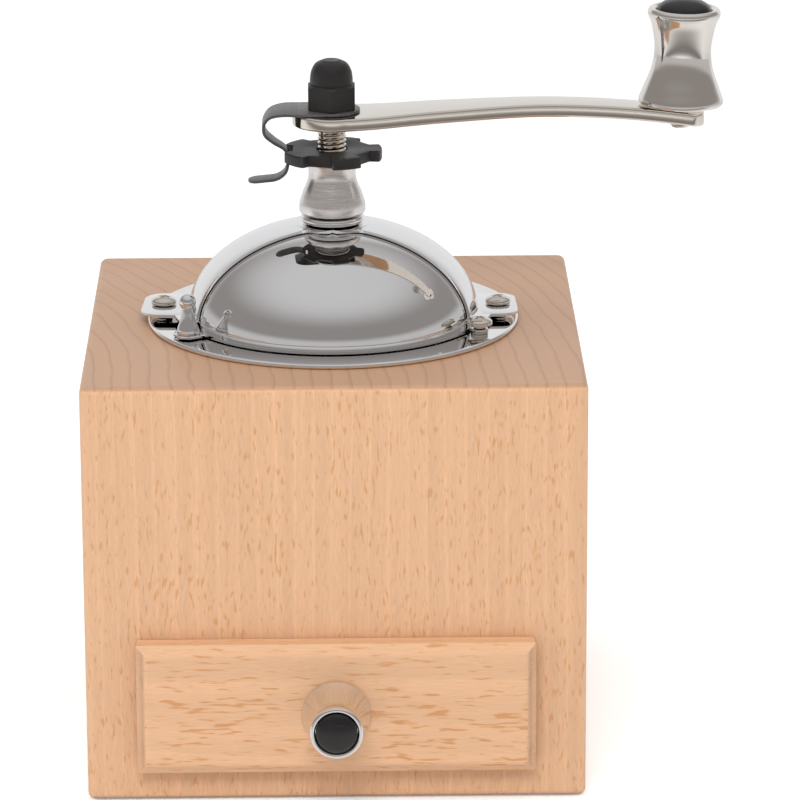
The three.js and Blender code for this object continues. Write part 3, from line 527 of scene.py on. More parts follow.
def shade(colour, factor):
    """A colour times a factor, as RGBA."""
    return (*[min(1.0, c * factor) for c in colour[:3]], 1)


def wood_finish(
    name, colours, along="Z", length=0.0022, width=0.00048, fleck=0.62, pith=(-0.25, -0.065), ring=0.0052,
    warm=1.0,
):
    """Oiled beech whose grain runs along the given axis.

    On faces across the grain the ring lines show in place of the flecks.
    """
    made = Finish(
        name, colours.beech, roughness=0.42, Coat_Weight=0.12, Coat_Roughness=0.35, Specular_IOR_Level=0.4
    )
    t = made.tree
    split = t.add("ShaderNodeSeparateXYZ", {0: made.place}).node.outputs
    facing = t.add("ShaderNodeSeparateXYZ", {0: t.add("ShaderNodeTexCoord", out=1)}).node.outputs
    order = {"Z": (0, 1, 2), "X": (2, 1, 0), "Y": (0, 2, 1)}[along]
    turned_place = t.add("ShaderNodeCombineXYZ", {i: split[k] for i, k in enumerate(order)})
    end = t.range(t.math("ABSOLUTE", facing[order[2]]), 0.35, 0.8, smooth=True)
    figure = made.group(
        "beech_figure", Pith_X=pith[0], Pith_Y=pith[1], Ring_Width=ring, Fleck_Length=length,
        Fleck_Width=width, End_Grain=end,
    )
    t.link(turned_place, figure["Rings"].node.inputs["Vector"])
    marks = made.group("handling_marks", Smudge_Size=35.0)
    side_colour = t.tones(figure["Bands"], colours.beech, 0.95 * warm, 1.06 * warm)
    side_colour = t.mix(t.math("MULTIPLY", figure["Rings"], 0.3), side_colour, shade(colours.beech, 1.22))
    side_colour = t.mix(t.math("MULTIPLY", figure["Flecks"], fleck), side_colour, (*colours.fleck, 1))
    end_colour = t.tones(figure["Bands"], colours.end_grain, 0.97, 1.04, 0.25, 0.75)
    end_colour = t.mix(t.math("MULTIPLY", figure["Rings"], 0.5), end_colour, shade(colours.end_grain, 0.66))
    surface = t.mix(end, side_colour, end_colour)
    grey = t.range(figure["Pores"], 0.2, 0.8, 0.88, 1.09)
    surface = t.mix(1.0, surface, t.add("ShaderNodeCombineColor", {0: grey, 1: grey, 2: grey}), "MULTIPLY")
    made.set("Base Color", surface)
    rough = t.plus(t.range(figure["Pores"], 0.2, 0.8, 0.36, 0.52), marks["Smudges"], -0.05)
    made.set("Roughness", t.plus(rough, figure["Flecks"], 0.06))
    relief = t.math(
        "SUBTRACT", t.math("MULTIPLY", figure["Pores"], 0.35), t.math("MULTIPLY", figure["Flecks"], 0.6)
    )
    made.set("Normal", t.bump(relief, 0.28, 0.00012))
    return made.material


def plain_wood_finish(name, colour):
    """Unfinished drawer boards: faint streaks along X and Y and a fuzzy surface."""
    made = Finish(name, colour, roughness=0.72)
    t = made.tree
    streaks = t.noise(t.vector("MULTIPLY", made.place, (0.12, 0.12, 1.0)), 900, 3, 0.6)
    broad = t.noise(made.place, 40, 2)
    tone = t.tones(streaks, colour, 0.86, 1.06, 0.35)
    tone = t.mix(t.range(broad, 0.3, 0.7, 0.0, 0.3), tone, shade(colour, 0.8))
    marks = made.group("handling_marks", Smudge_Size=25.0)
    tone = t.mix(t.math("MULTIPLY", marks["Dust"], 0.4), tone, (0.10, 0.055, 0.03, 1))
    made.set("Base Color", tone)
    made.set("Roughness", t.range(streaks, 0.3, 0.7, 0.64, 0.82))
    made.set("Normal", t.bump(streaks, 0.35, 0.0002))
    return made.material


def bright_metal_finish(name, colour, roughness, smudge=0.05, scratch=0.05, ripple=0.0):
    """Plated or polished metal: smudges and scratches raise its roughness a little, and ripples tilt it."""
    made = Finish(name, colour, metallic=1.0, roughness=roughness)
    t = made.tree
    marks = made.group("handling_marks", Smudge_Size=55.0, Scratch_Size=1300.0)
    tone = t.mix(t.math("MULTIPLY", marks["Smudges"], 0.25), made.colour, shade(colour, 0.93))
    made.set("Base Color", t.mix(t.math("MULTIPLY", marks["Dust"], 0.04), tone, (0.6, 0.58, 0.55, 1)))
    rough = t.plus(roughness, marks["Smudges"], smudge)
    made.set("Roughness", t.plus(rough, marks["Scratches"], scratch))
    if ripple:
        swell = t.noise(made.place, 90.0, 1, 0.4)
        made.set("Normal", t.bump(swell, ripple, 0.0006))
    return made.material


def brushed_finish(name, colour, roughness, line=2200.0, strength=0.05):
    """Turned or brushed metal: fine level lines round the axis, from a noise squeezed in height."""
    made = Finish(name, colour, metallic=0.88, roughness=roughness)
    t = made.tree
    marks = made.group("handling_marks", Smudge_Size=80.0)
    lines = t.noise(t.vector("MULTIPLY", made.place, (0.06, 0.06, 1.0)), line, 2, 0.6)
    made.set("Base Color", t.tones(lines, colour, 0.9, 1.05))
    rough = t.range(lines, 0.3, 0.7, roughness - 0.05, roughness + 0.07)
    made.set("Roughness", t.plus(rough, marks["Smudges"], 0.06))
    made.set("Normal", t.bump(lines, strength, 0.00004))
    return made.material


def cast_iron_finish(name, colour):
    """Burr iron: phosphated grey, pitted, brighter where the teeth rub, with traces of ground coffee."""
    made = Finish(name, colour, metallic=0.85, roughness=0.5)
    t = made.tree
    pits = t.noise(made.place, 1500, 4, 0.65)
    stain = t.noise(made.place, 160, 3, 0.6)
    edges = made.rubbed(0.08)
    tone = t.tones(pits, colour, 0.75, 1.2)
    tone = t.mix(t.range(stain, 0.52, 0.7, 0.0, 0.6), tone, (0.075, 0.04, 0.022, 1))
    made.set("Base Color", t.mix(t.math("MULTIPLY", edges, 0.6), tone, (0.5, 0.48, 0.46, 1)))
    made.set("Roughness", t.range(pits, 0.3, 0.7, 0.42, 0.68))
    made.set("Normal", t.bump(pits, 0.5, 0.0001))
    return made.material


def black_finish(name, colour, roughness, grain, rubbed=0.35):
    """Black enamel or blacked steel: a fine orange-peel grain, dust, and rubbed edges."""
    made = Finish(name, colour, roughness=roughness, Specular_IOR_Level=0.5)
    t = made.tree
    peel = t.noise(made.place, 1900, 3, 0.55)
    marks = made.group("handling_marks", Smudge_Size=90.0)
    edges = made.rubbed(0.1)
    tone = t.tones(peel, colour, 0.8, 1.3)
    tone = t.mix(t.math("MULTIPLY", marks["Smudges"], 0.4), tone, shade(colour, 2.0))
    made.set("Base Color", t.mix(t.math("MULTIPLY", edges, rubbed), tone, (0.16, 0.155, 0.15, 1)))
    rough = t.range(peel, 0.3, 0.7, roughness - 0.07, roughness + 0.08)
    made.set("Roughness", t.plus(rough, marks["Smudges"], 0.08))
    made.set("Normal", t.bump(peel, grain, 0.00008))
    return made.material


def felt_finish(name, colour):
    """Pressed felt: short fibres in all directions, with no gloss."""
    made = Finish(name, colour, roughness=0.95, Sheen_Weight=0.35, Sheen_Roughness=0.6)
    t = made.tree
    fibres = t.noise(t.vector("MULTIPLY", made.place, (1.0, 0.35, 1.0)), 2600, 4, 0.7, 1.5)
    made.set("Base Color", t.tones(fibres, colour, 0.6, 1.7))
    made.set("Normal", t.bump(fibres, 0.8, 0.0002))
    return made.material


def make_finishes():
    """Builds the node groups and every finish once."""
    if FINISHES:
        return
    colours = bpy.context.scene.mill_colours
    GROUPS["beech_figure"] = wood_group()
    GROUPS["handling_marks"] = wear_group()
    GROUPS["rubbed_edges"] = rubbed_group()
    FINISHES["beech"] = wood_finish("beech_upright", colours)
    FINISHES["front"] = wood_finish(
        "beech_crosswise", colours, along="X", length=0.0036, width=0.00048, fleck=0.75, pith=(-0.2, 0.4),
        ring=0.009, warm=1.02,
    )
    rows = {
        "plain_wood": (plain_wood_finish, "drawer_boards"),
        "felt": (felt_finish, "pressed_felt"),
        "chrome": (bright_metal_finish, "chrome_plate", 0.025, 0.05, 0.05, 0.02),
        "nickel": (bright_metal_finish, "nickel_plate", 0.09, 0.06, 0.06, 0.06),
        "polished": (bright_metal_finish, "polished_nickel", 0.1, 0.06, 0.06, 0.05),
        "steel": (brushed_finish, "satin_steel", 0.2),
        "iron": (cast_iron_finish, "burr_iron"),
        "enamel": (black_finish, "black_enamel", 0.42, 0.25),
        "strip": (black_finish, "blacked_spring_steel", 0.34, 0.12, 0.5),
        "plastic": (black_finish, "black_plastic", 0.2, 0.05, 0.1),
        "brass": (brushed_finish, "turned_brass", 0.28),
    }
    for key, (make, name, *values) in rows.items():
        FINISHES[key] = make(name, tuple(getattr(colours, key)), *values)


# ---------------------------------------------------------------- sizes and colours


def length(name, about, value, low=0.0, high=0.05):
    """A length property in metres."""
    return FloatProperty(
        name=name, description=about, default=value, min=low, max=high, unit="LENGTH", precision=5
    )


def tint(name, about, value):
    """A colour property."""
    return FloatVectorProperty(
        name=name, description=about, default=value, min=0, max=1, size=3, subtype="COLOR"
    )


class MillSizes(bpy.types.PropertyGroup):
    """Sizes of the fine surfaces, in metres."""

    case_edge: length("Case edge", "Radius along the top and bottom edges of the case", 0.0018)
    case_corner: length("Case corner", "Radius of the upright edges of the case", 0.0024)
    front_bevel: length("Drawer bevel", "Width of the bevel round the drawer front", 0.0026)
    front_bevel_depth: length("Bevel depth", "How far the bevel falls back", 0.0018)
    dome_sheet: length("Dome sheet", "Thickness of the fixed dome", 0.0008)
    door_sheet: length("Door sheet", "Thickness of the turning door", 0.0008)
    thread_pitch: length("Thread pitch", "Pitch of the spindle's thread", 0.00125, 0.0005, 0.005)
    thread_depth: length("Thread depth", "Depth of the spindle's thread", 0.00042)
    arm_edge: length("Crank edge", "Rounding along the crank arm", 0.0007)
    latch_sheet: length("Latch sheet", "Thickness of the latch strip", 0.0008)
    round_segments: IntProperty(
        name="Segments", description="Segments round a turned piece", default=96, min=24, max=256
    )


class MillColours(bpy.types.PropertyGroup):
    """Base colours of the finishes."""

    beech: tint("Beech", "Long grain of the case", (0.73, 0.446, 0.262))
    end_grain: tint("End grain", "Top of the case", (0.515, 0.302, 0.18))
    fleck: tint("Flecks", "Rays in the long grain", (0.61, 0.27, 0.092))
    plain_wood: tint("Drawer boards", "Unfinished boards of the drawer box", (0.66, 0.42, 0.22))
    felt: tint("Felt", "Pad under the case", (0.022, 0.018, 0.015))
    chrome: tint("Chrome", "Dome, ring and knobs", (0.80, 0.795, 0.79))
    nickel: tint("Nickel", "Screws, spindle and crank", (0.74, 0.69, 0.62))
    polished: tint("Polished nickel", "Crank knob", (0.78, 0.745, 0.70))
    steel: tint("Steel", "Collar and funnel", (0.80, 0.77, 0.745))
    iron: tint("Burr iron", "Burrs", (0.085, 0.08, 0.078))
    enamel: tint("Enamel", "Star wheel and cap nut", (0.0125, 0.0115, 0.011))
    strip: tint("Blacked steel", "Latch strip", (0.055, 0.053, 0.052))
    plastic: tint("Plastic", "Domed inserts of the knobs", (0.0085, 0.008, 0.008))
    brass: tint("Brass", "Lower bush", (0.55, 0.36, 0.12))


# ---------------------------------------------------------------- shape helpers of the mill

CASE_LOW, CASE_HIGH = box_mm("case_block")
RING_LOW, RING_HIGH = box_mm("base_ring")
RING_TOP = RING_HIGH[2]
DOME_RADIUS = 40.4
DOME_RISE = 26.7
BUSH_HOLE = 6.15
SPINDLE_BORE = 4.35
SCREW_HOLE = 1.75
RING_BORE = 37.0
WELL_RADIUS = 37.4
FLANGE_RADIUS = 44.5
LIP_RADIUS = 42.5
DOOR_FIRST, DOOR_LAST = 194, 346
TAB_ANGLE = 210.2
EYE_RADIUS = 7.8
ARM_THICKNESS = 3.5
CRANK_KNOB_FOOT = (95.8, 0, 177.15)
CRANK_KNOB_LEAN = 1.5
EAR_SCREWS = {
    "dome_screw_left": (176.4, 47.1, 22),
    "dome_screw_right": (1.5, 45.8, 64),
    "dome_screw_rear": (90.0, 46.0, 10),
    "stop_screw": (332.2, 45.2, 38),
}
SPACER_OF = {
    name: name.replace("dome_screw", "dome_spacer").replace("stop_screw", "stop_spacer")
    for name in EAR_SCREWS
}


def sizes():
    """The scene's sizes."""
    return bpy.context.scene.mill_sizes


def segments():
    """Segments round a large turned piece."""
    return sizes().round_segments


def polar(degrees, radius):
    """x and y of a point at an angle and a distance from the spindle."""
    return radius * math.cos(math.radians(degrees)), radius * math.sin(math.radians(degrees))


def rod(radius, low, high, at=(0, 0), count=48):
    """Plain round tool for cutting, used only by cut()."""
    profile = [(0, low), (radius, low), (radius, high), (0, high)]
    return turned("tool", profile, FINISHES["steel"], count, at=(*at, 0))


def block(low, high):
    """Plain square tool for cutting, used only by cut()."""
    (x0, y0, z0), (x1, y1, z1) = low, high
    ring = np.array([(x1, y1), (x0, y1), (x0, y0), (x1, y0)], float)
    sections = np.array([np.column_stack([ring, np.full(4, z)]) for z in (z0, z1)])
    return lofted("tool", sections, FINISHES["steel"])


def onto_front(vertices, front, middle):
    """A slab raised on +Z is laid on its back: y becomes height above middle, z runs out along -Y."""
    x, y, z = vertices[..., 0], vertices[..., 1], vertices[..., 2]
    return np.stack([x, front - z, middle + y], -1)


class BuildStep:
    """Shared execute of the mill's operators: makes the finishes if needed, then builds."""

    bl_options = {"REGISTER", "UNDO"}

    def execute(self, context):
        """Runs the build of one step."""
        make_finishes()
        self.build()
        return {"FINISHED"}


# ---------------------------------------------------------------- case and drawer


class MILL_OT_case(BuildStep, bpy.types.Operator):
    """Builds the rounded wooden block with its well and drawer opening, and the felt pad under it"""

    bl_idname = "mill.case"
    bl_label = "Case"

    def build(self):
        s = sizes()
        low, high = CASE_LOW, CASE_HIGH
        width, depth = high[0] - low[0], high[1] - low[1]
        layers = edge_layers(0.3, high[2], s.case_edge / MM)
        sections = slab_sections(width, depth, s.case_corner / MM, layers)
        case = lofted("wooden_case", sections, FINISHES["beech"])
        funnel_high = box_mm("hopper_funnel")[1]
        rim = funnel_high[0] + 0.35
        side_low, side_high = box_mm("drawer_side_right")
        half = side_high[0] + 0.5
        back = box_mm("drawer_back")[1][1] + 4
        bottom, top = side_low[2] - 0.5, side_high[2] + 1.2
        tools = [
            rod(WELL_RADIUS, bottom + 1, high[2] + 1, count=128),
            rod(rim, high[2] - 1.0, high[2] + 1, count=128),
            block((-half, low[1] - 1, bottom), (half, back, top)),
        ]
        for angle, radius, _ in EAR_SCREWS.values():
            tools.append(rod(SCREW_HOLE, high[2] - 12, high[2] + 1, polar(angle, radius), 24))
        kept(cut(case, tools), "mill", "beech", "case_block")
        pad_low, pad_high = box_mm("base_pad")
        layers = edge_layers(pad_low[2], pad_high[2], 0.25, 4, 0.2)
        sections = slab_sections(pad_high[0] - pad_low[0] - 5, pad_high[1] - pad_low[1] - 5, 2.4, layers)
        kept(lofted("felt_pad", sections, FINISHES["felt"]), "mill", "felt", "base_pad")


class MILL_OT_drawer(BuildStep, bpy.types.Operator):
    """Builds the bevelled drawer front and the boards of the drawer box"""

    bl_idname = "mill.drawer"
    bl_label = "Drawer"

    def build(self):
        self.front()
        boards = ("drawer_side_left", "drawer_side_right", "drawer_back", "drawer_floor")
        for node in boards:
            low, high = box_mm(node)
            layers = edge_layers(low[2], high[2], 0.5, 4, 0.3)
            sections = slab_sections(high[0] - low[0], high[1] - low[1], 0.5, layers, 5)
            sections += np.array(middle_of(low, high))
            made = lofted(node.replace("drawer", "box"), sections, FINISHES["plain_wood"])
            kept(made, "drawer", "plain_wood", node)

    def front(self):
        """Layers run out from the back: square edge, then a bevel that curves in to the face."""
        s = sizes()
        low, high = box_mm("drawer_front")
        thick = high[1] - low[1]
        bevel, fall = s.front_bevel / MM, s.front_bevel_depth / MM
        edge = 0.35
        a = np.linspace(0, 1, 7)
        slope = [
            (bevel * (0.12 + 0.8 * t), thick - fall * (1 - t) - 0.16 * math.sin(math.pi * t))
            for t in a[:-1]
        ]
        layers = [(edge + 0.4, 0), (edge, 0), (0.1, 0.1), (0, edge), (0, edge + 0.4), (0, thick - fall - 0.9)]
        layers += [(0, thick - fall - 0.5), (0.04, thick - fall - 0.2)] + slope
        layers += [(bevel, thick - 0.12), (bevel + 0.35, thick), (bevel + 1.0, thick)]
        sections = slab_sections(high[0] - low[0], high[2] - low[2] - 1.1, 0.7, layers, 5)
        sections = onto_front(sections, high[1], (low[2] + high[2]) / 2 - 0.55)
        made = lofted("drawer_panel", sections, FINISHES["front"], 38)
        tool = turned("tool", [(0, -1), (2.15, -1), (2.15, thick + 1), (0, thick + 1)], FINISHES["steel"], 32,
                      at=(0, high[1], (low[2] + high[2]) / 2), turn=Matrix.Rotation(math.pi / 2, 3, "X"))
        kept(cut(made, [tool], 38), "drawer", "beech", "drawer_front")


class MILL_OT_drawer_knob(BuildStep, bpy.types.Operator):
    """Builds the waisted chrome pull of the drawer with its domed black insert"""

    bl_idname = "mill.drawer_knob"
    bl_label = "Drawer knob"

    def build(self):
        low, high = box_mm("drawer_knob_shell")
        insert_low = box_mm("drawer_knob_insert")[0]
        base = (high[0] - low[0]) / 2
        reach = high[1] - low[1]
        foot = high[1]
        middle = (low[2] + high[2]) / 2 - 1.2
        turn = Matrix.Rotation(math.pi / 2, 3, "X")
        flank = spline([(base, 1.2), (base * 0.88, reach * 0.2), (6.7, reach * 0.42), (6.0, reach * 0.58),
                        (6.5, reach * 0.8), (7.15, reach - 1.7), (7.2, reach - 1.25)], 40)
        rim = [
            (7.2 - 0.75 + 0.75 * math.cos(t), reach - 0.9 + 0.9 * math.sin(t))
            for t in np.linspace(0.05, 2.2, 10)
        ]
        lip = [(5.72, reach - 0.55), (5.66, reach - 3.0), (2.2, reach - 3.0), (2.2, 0)]
        foot_edge = [(base - 0.5, 0), (base - 0.15, 0.12), (base, 0.5)]
        profile = foot_edge + flank.tolist() + rim + lip
        shell_made = turned(
            "drawer_pull", profile, FINISHES["chrome"], segments(), (0, foot, middle), turn, 40
        )
        kept(shell_made, "drawer", "chrome", "drawer_knob_shell")
        crown = foot - insert_low[1]
        t = np.linspace(0, 1, 14)
        cap = np.column_stack(
            [
                5.55 * np.cos(t * math.pi / 2),
                reach - 0.25 + (crown - reach + 0.25) * np.sin(t * math.pi / 2) ** 1.2,
            ]
        )
        cap[-1, 0] = 0
        profile = [(0, reach - 2.9), (5.3, reach - 2.9), (5.55, reach - 2.6)] + cap.tolist()
        made = turned(
            "drawer_pull_insert", profile, FINISHES["plastic"], segments(), (0, foot, middle), turn, 50
        )
        kept(made, "drawer", "black_plastic", "drawer_knob_insert")


# ---------------------------------------------------------------- ring, dome, door and screws


class MILL_OT_ring(BuildStep, bpy.types.Operator):
    """Builds the chrome ring on the case, with a rolled outer edge and holes for the screws"""

    bl_idname = "mill.ring"
    bl_label = "Base ring"

    def build(self):
        low, high = RING_LOW, RING_HIGH
        outer = high[0]
        thick = high[2] - low[2]
        bore = RING_BORE
        t = np.linspace(-math.pi / 2, math.pi / 2, 12)
        roll = [
            (outer - thick / 2 + thick / 2 * math.cos(a), low[2] + thick / 2 + thick / 2 * math.sin(a))
            for a in t
        ]
        flat = [(r, high[2]) for r in (outer - thick / 2 - 0.4, 44.0, bore + 0.6, bore + 0.2)]
        profile = [(bore, low[2] + 0.15), (bore + 0.15, low[2])] + roll + flat + [(bore, high[2] - 0.2)]
        made = turned("chrome_ring", profile, FINISHES["chrome"], 192)
        tools = [rod(SCREW_HOLE, low[2] - 1, high[2] + 1, polar(a, r), 24) for a, r, _ in EAR_SCREWS.values()]
        kept(cut(made, tools), "mill", "chrome", "base_ring")


def dome_rows(radius, rise, floor, bend, rim, hole, steps):
    """[Radius, height] rows from the rim in, round a bend and up to its hole, and the wall's radius."""
    low = math.asin((floor - RING_TOP + bend) / rise)
    wall = radius * math.cos(low)
    turn = np.linspace(0, math.pi / 2, 7)[1:-1]
    flange = [(r, floor) for r in np.linspace(rim, wall + bend + 0.05, steps[0])]
    fillet = [(wall + bend * (1 - math.sin(a)), floor + bend * (1 - math.cos(a))) for a in turn]
    latitude = np.linspace(low, math.acos(hole / radius), steps[1])
    arc = np.column_stack([radius * np.cos(latitude), RING_TOP + rise * np.sin(latitude)])
    return np.vstack([flange, fillet, arc]), wall


def fanned(rows, first, last):
    """Each row swept from its first to its last angle."""
    share = np.linspace(0, 1, 181)[None, :]
    return swept(rows[:, :1], first[:, None] * (1 - share) + last[:, None] * share, rows[:, 1:])


def drawn_in(outline, middle, layers):
    """The outline at each (inset, height), drawn in towards its middle by the inset."""
    away = outline - middle
    reach = np.linalg.norm(away, axis=1, keepdims=True)
    plans = [middle + away * (1 - inset / reach) for inset, _ in layers]
    return np.array([np.column_stack([plan, np.full(len(plan), z)]) for plan, (_, z) in zip(plans, layers)])


def rear_span(radius):
    """First and last angle of the fixed dome at a distance from the spindle.

    Its front edge in plan is y = -(5.5 + 0.23 |x|), which the circle of that distance meets at
    -asin(5.5 / (r sqrt(1 + 0.23^2))) - atan(0.23). Inside the crown the span opens to a full turn.
    """
    setback, slope = 5.5, 0.23
    reach = np.clip(setback / (radius * math.hypot(1, slope)), -1, 1)
    wedge = -np.arcsin(reach) - math.atan(slope)
    crown = ease((radius - 9.0) / 1.4)
    first = wedge * crown + (-math.pi / 2 + 1e-4) * (1 - crown)
    return first, math.pi - first


class MILL_OT_dome(BuildStep, bpy.types.Operator):
    """Builds the fixed rear dome with its flange and the three ears that hold it down"""

    bl_idname = "mill.dome"
    bl_label = "Fixed dome"

    def build(self):
        sheet = sizes().dome_sheet / MM
        foot = RING_TOP + 1.4
        top = foot + sheet
        outer = self.surface(DOME_RADIUS, DOME_RISE, top, 0.5)
        inner = self.surface(DOME_RADIUS - sheet, DOME_RISE - sheet, foot, 0.5 + sheet)
        dome = bevelled(shell("dome", outer, inner, FINISHES["chrome"], sharp=35), 0.18)
        kept(dome, "mill", "chrome", "dome_shell")
        ears = {
            "dome_screw_left": (11.5, 5.9), "dome_screw_right": (11.0, 5.2), "dome_screw_rear": (9.0, 4.8)
        }
        for screw, (half, past) in ears.items():
            angle, radius, _ = EAR_SCREWS[screw]
            ear = self.ear(screw.replace("dome_screw", "dome_ear"), angle, radius, half, past, foot, top)
            kept(ear, "mill", "chrome")

    def surface(self, radius, rise, floor, bend):
        """One face of the sheet, from the flange's edge to the bush's hole."""
        rows, wall = dome_rows(radius, rise, floor, bend, FLANGE_RADIUS, BUSH_HOLE, (5, 64))
        return fanned(rows, *rear_span(np.minimum(rows[:, 0], wall)))

    def ear(self, name, angle, radius, half, past, low, high):
        """Tab with cut corners, from the dome's wall to past its screw, its edges rounded over."""
        root, end = DOME_RADIUS + 0.2, radius + past
        outline = [(root, -half), (end, -half), (end, half), (root, half)]
        edge = rounded(outline, [0.02, past * 0.95, past * 0.95, 0.02], 12)
        middle = np.array([(root + end) / 2, 0])
        layers = [
            (0.25, low - 0.02), (0.08, low + 0.03), (0, low + 0.2), (0, high - 0.22), (0.08, high - 0.04),
            (0.28, high + 0.02),
        ]
        turn = Matrix.Rotation(math.radians(angle), 3, "Z")
        made = lofted(name, placed(drawn_in(edge, middle, layers), turn=turn), FINISHES["chrome"], 40)
        return cut(made, [rod(SCREW_HOLE, low - 1, high + 1, polar(angle, radius), 24)], 40)


class MILL_OT_door(BuildStep, bpy.types.Operator):
    """Builds the turning door: an inner dome sector with a lip, a tab and a small chrome knob"""

    bl_idname = "mill.door"
    bl_label = "Door"

    def build(self):
        sheet = sizes().door_sheet / MM
        foot = RING_TOP + 0.3
        radius, rise = DOME_RADIUS - 1.0, DOME_RISE - 1.0
        outer = self.surface(radius, rise, foot + sheet, 0.6)
        inner = self.surface(radius - sheet, rise - sheet, foot, 0.6 + sheet)
        door = bevelled(shell("door", outer, inner, FINISHES["chrome"], sharp=35), 0.16)
        kept(door, "door", "chrome", "hopper_door")
        self.tab(foot, foot + sheet)
        self.knob(foot + sheet)

    def surface(self, radius, rise, floor, bend):
        """One face of the sheet over the door's sector, from the lip to the eye round the bush."""
        rows, _ = dome_rows(radius, rise, floor, bend, LIP_RADIUS, BUSH_HOLE + 0.2, (4, 72))
        open_eye = ease((rows[:, 0] - 10.4) / 1.6)
        first = math.radians(DOOR_FIRST) * open_eye + (math.radians(90) + 1e-4) * (1 - open_eye)
        last = math.radians(DOOR_LAST) * open_eye + (math.radians(450) - 1e-4) * (1 - open_eye)
        return fanned(rows, first, last)

    def tab(self, low, high):
        """Small tongue of the lip that carries the knob."""
        outline = rounded(
            [(41.5, -4), (47.5, -4), (49.5, -2), (49.5, 2), (47.5, 4), (41.5, 4)],
            [0.1, 1.0, 1.4, 1.4, 1.0, 0.1],
            5,
        )
        layers = [(0.2, low + 0.01), (0, low + 0.16), (0, high - 0.16), (0.2, high - 0.01)]
        sections = drawn_in(outline, np.array([45.5, 0]), layers)
        turn = Matrix.Rotation(math.radians(TAB_ANGLE), 3, "Z")
        kept(lofted("door_tab", placed(sections, turn=turn), FINISHES["chrome"], 40), "door", "chrome")

    def knob(self, foot):
        """Tapered stem that ends in a ball: radii follow a spline, and the ball is an arc."""
        low, high = box_mm("door_knob")
        height = high[2] - foot
        ball = 2.3
        centre = height - ball
        stem = spline(
            [(3.05, 0.9), (2.9, 1.6), (2.15, height * 0.34), (1.62, centre - 2.6), (1.45, centre - 1.95)],
            26,
        )
        arc = np.radians(np.linspace(-50, 90, 22))
        top = np.column_stack([ball * np.cos(arc), centre + ball * np.sin(arc)])
        top[-1, 0] = 0
        profile = [(0, 0.05), (3.1, 0.05), (3.25, 0.2), (3.25, 0.65)] + stem.tolist() + top.tolist()
        at = middle_of(low, high, foot)
        made = turned("door_pull", profile, FINISHES["chrome"], 64, at, None, 38)
        kept(made, "door", "chrome", "door_knob")


class MILL_OT_screws(BuildStep, bpy.types.Operator):
    """Builds the four pan head screws with their cross recesses, and the spacers under them"""

    bl_idname = "mill.screws"
    bl_label = "Screws"

    def build(self):
        for name, (_, _, slot_angle) in EAR_SCREWS.items():
            low, high = box_mm(name)
            at = middle_of(low, high)
            made = self.screw(name, at, low[2], high[2], slot_angle)
            kept(made, "mill", "nickel", name)
            spacer_low, spacer_high = box_mm(SPACER_OF[name])
            ring = rounded(
                [(1.7, spacer_low[2]), (2.4, spacer_low[2]), (2.4, spacer_high[2]), (1.7, spacer_high[2])],
                0.15,
                4,
            )
            spacer = turned(SPACER_OF[name].replace("spacer", "collar"), ring, FINISHES["nickel"], 48, at)
            kept(spacer, "mill", "nickel", SPACER_OF[name])

    def screw(self, name, at, low, high, slot_angle):
        """A domed head with its recess, and the shank and thread below it.

        The head's height is the rim plus 0.8 H times sqrt(1 - (r / R)^2) to the power 1.1, less the recess.

        The recess is a cross of two rounded arms: depth times a soft step of half width minus the
        distance to the nearer arm's middle line, fading out at the arm's end.
        """
        head, rise = 3.55, 2.2
        angle = full_turn(72)
        radius = np.concatenate([np.linspace(0.12, 2.2, 22), np.linspace(2.32, head - 0.12, 9)])[::-1]
        r = radius[:, None] + 0 * angle
        dome = rise * 0.80 * np.sqrt(np.clip(1 - (r / (head + 0.25)) ** 2, 0, 1)) ** 1.1
        turned_angle = angle + math.radians(slot_angle)
        x, y = r * np.cos(turned_angle), r * np.sin(turned_angle)
        arm = np.minimum(np.abs(x), np.abs(y))
        cross = ease((0.52 - arm) / 0.22) * ease((1.75 - np.maximum(np.abs(x), np.abs(y))) / 0.35)
        deep = np.clip(1.25 - r * 0.28, 0.3, 1.3) * cross
        grid = swept(r, angle, high - rise + 0.38 + dome - deep)
        under = high - rise
        edge = [(head, under + 0.55), (head, under + 0.15), (head - 0.15, under), (1.6, under)]
        shank = np.linspace(under - 0.2, low + 1.6, 40)
        wave = 1.6 - 0.22 * (0.5 - 0.5 * np.cos(2 * math.pi * (shank - low) / 1.0))
        side = np.array(edge + np.column_stack([wave, shank]).tolist() + [(0.4, low + 0.25)])
        below = swept(side[:, :1], angle, side[:, 1:])[::-1]
        vertices, faces = closed_by_poles(np.concatenate([below, grid]), low, grid[-1, :, 2].min())
        label = name.replace("screw", "pan_screw")
        return mesh_object(label, placed(vertices, at), faces, FINISHES["nickel"], 48)


# ---------------------------------------------------------------- spindle and what stands on it


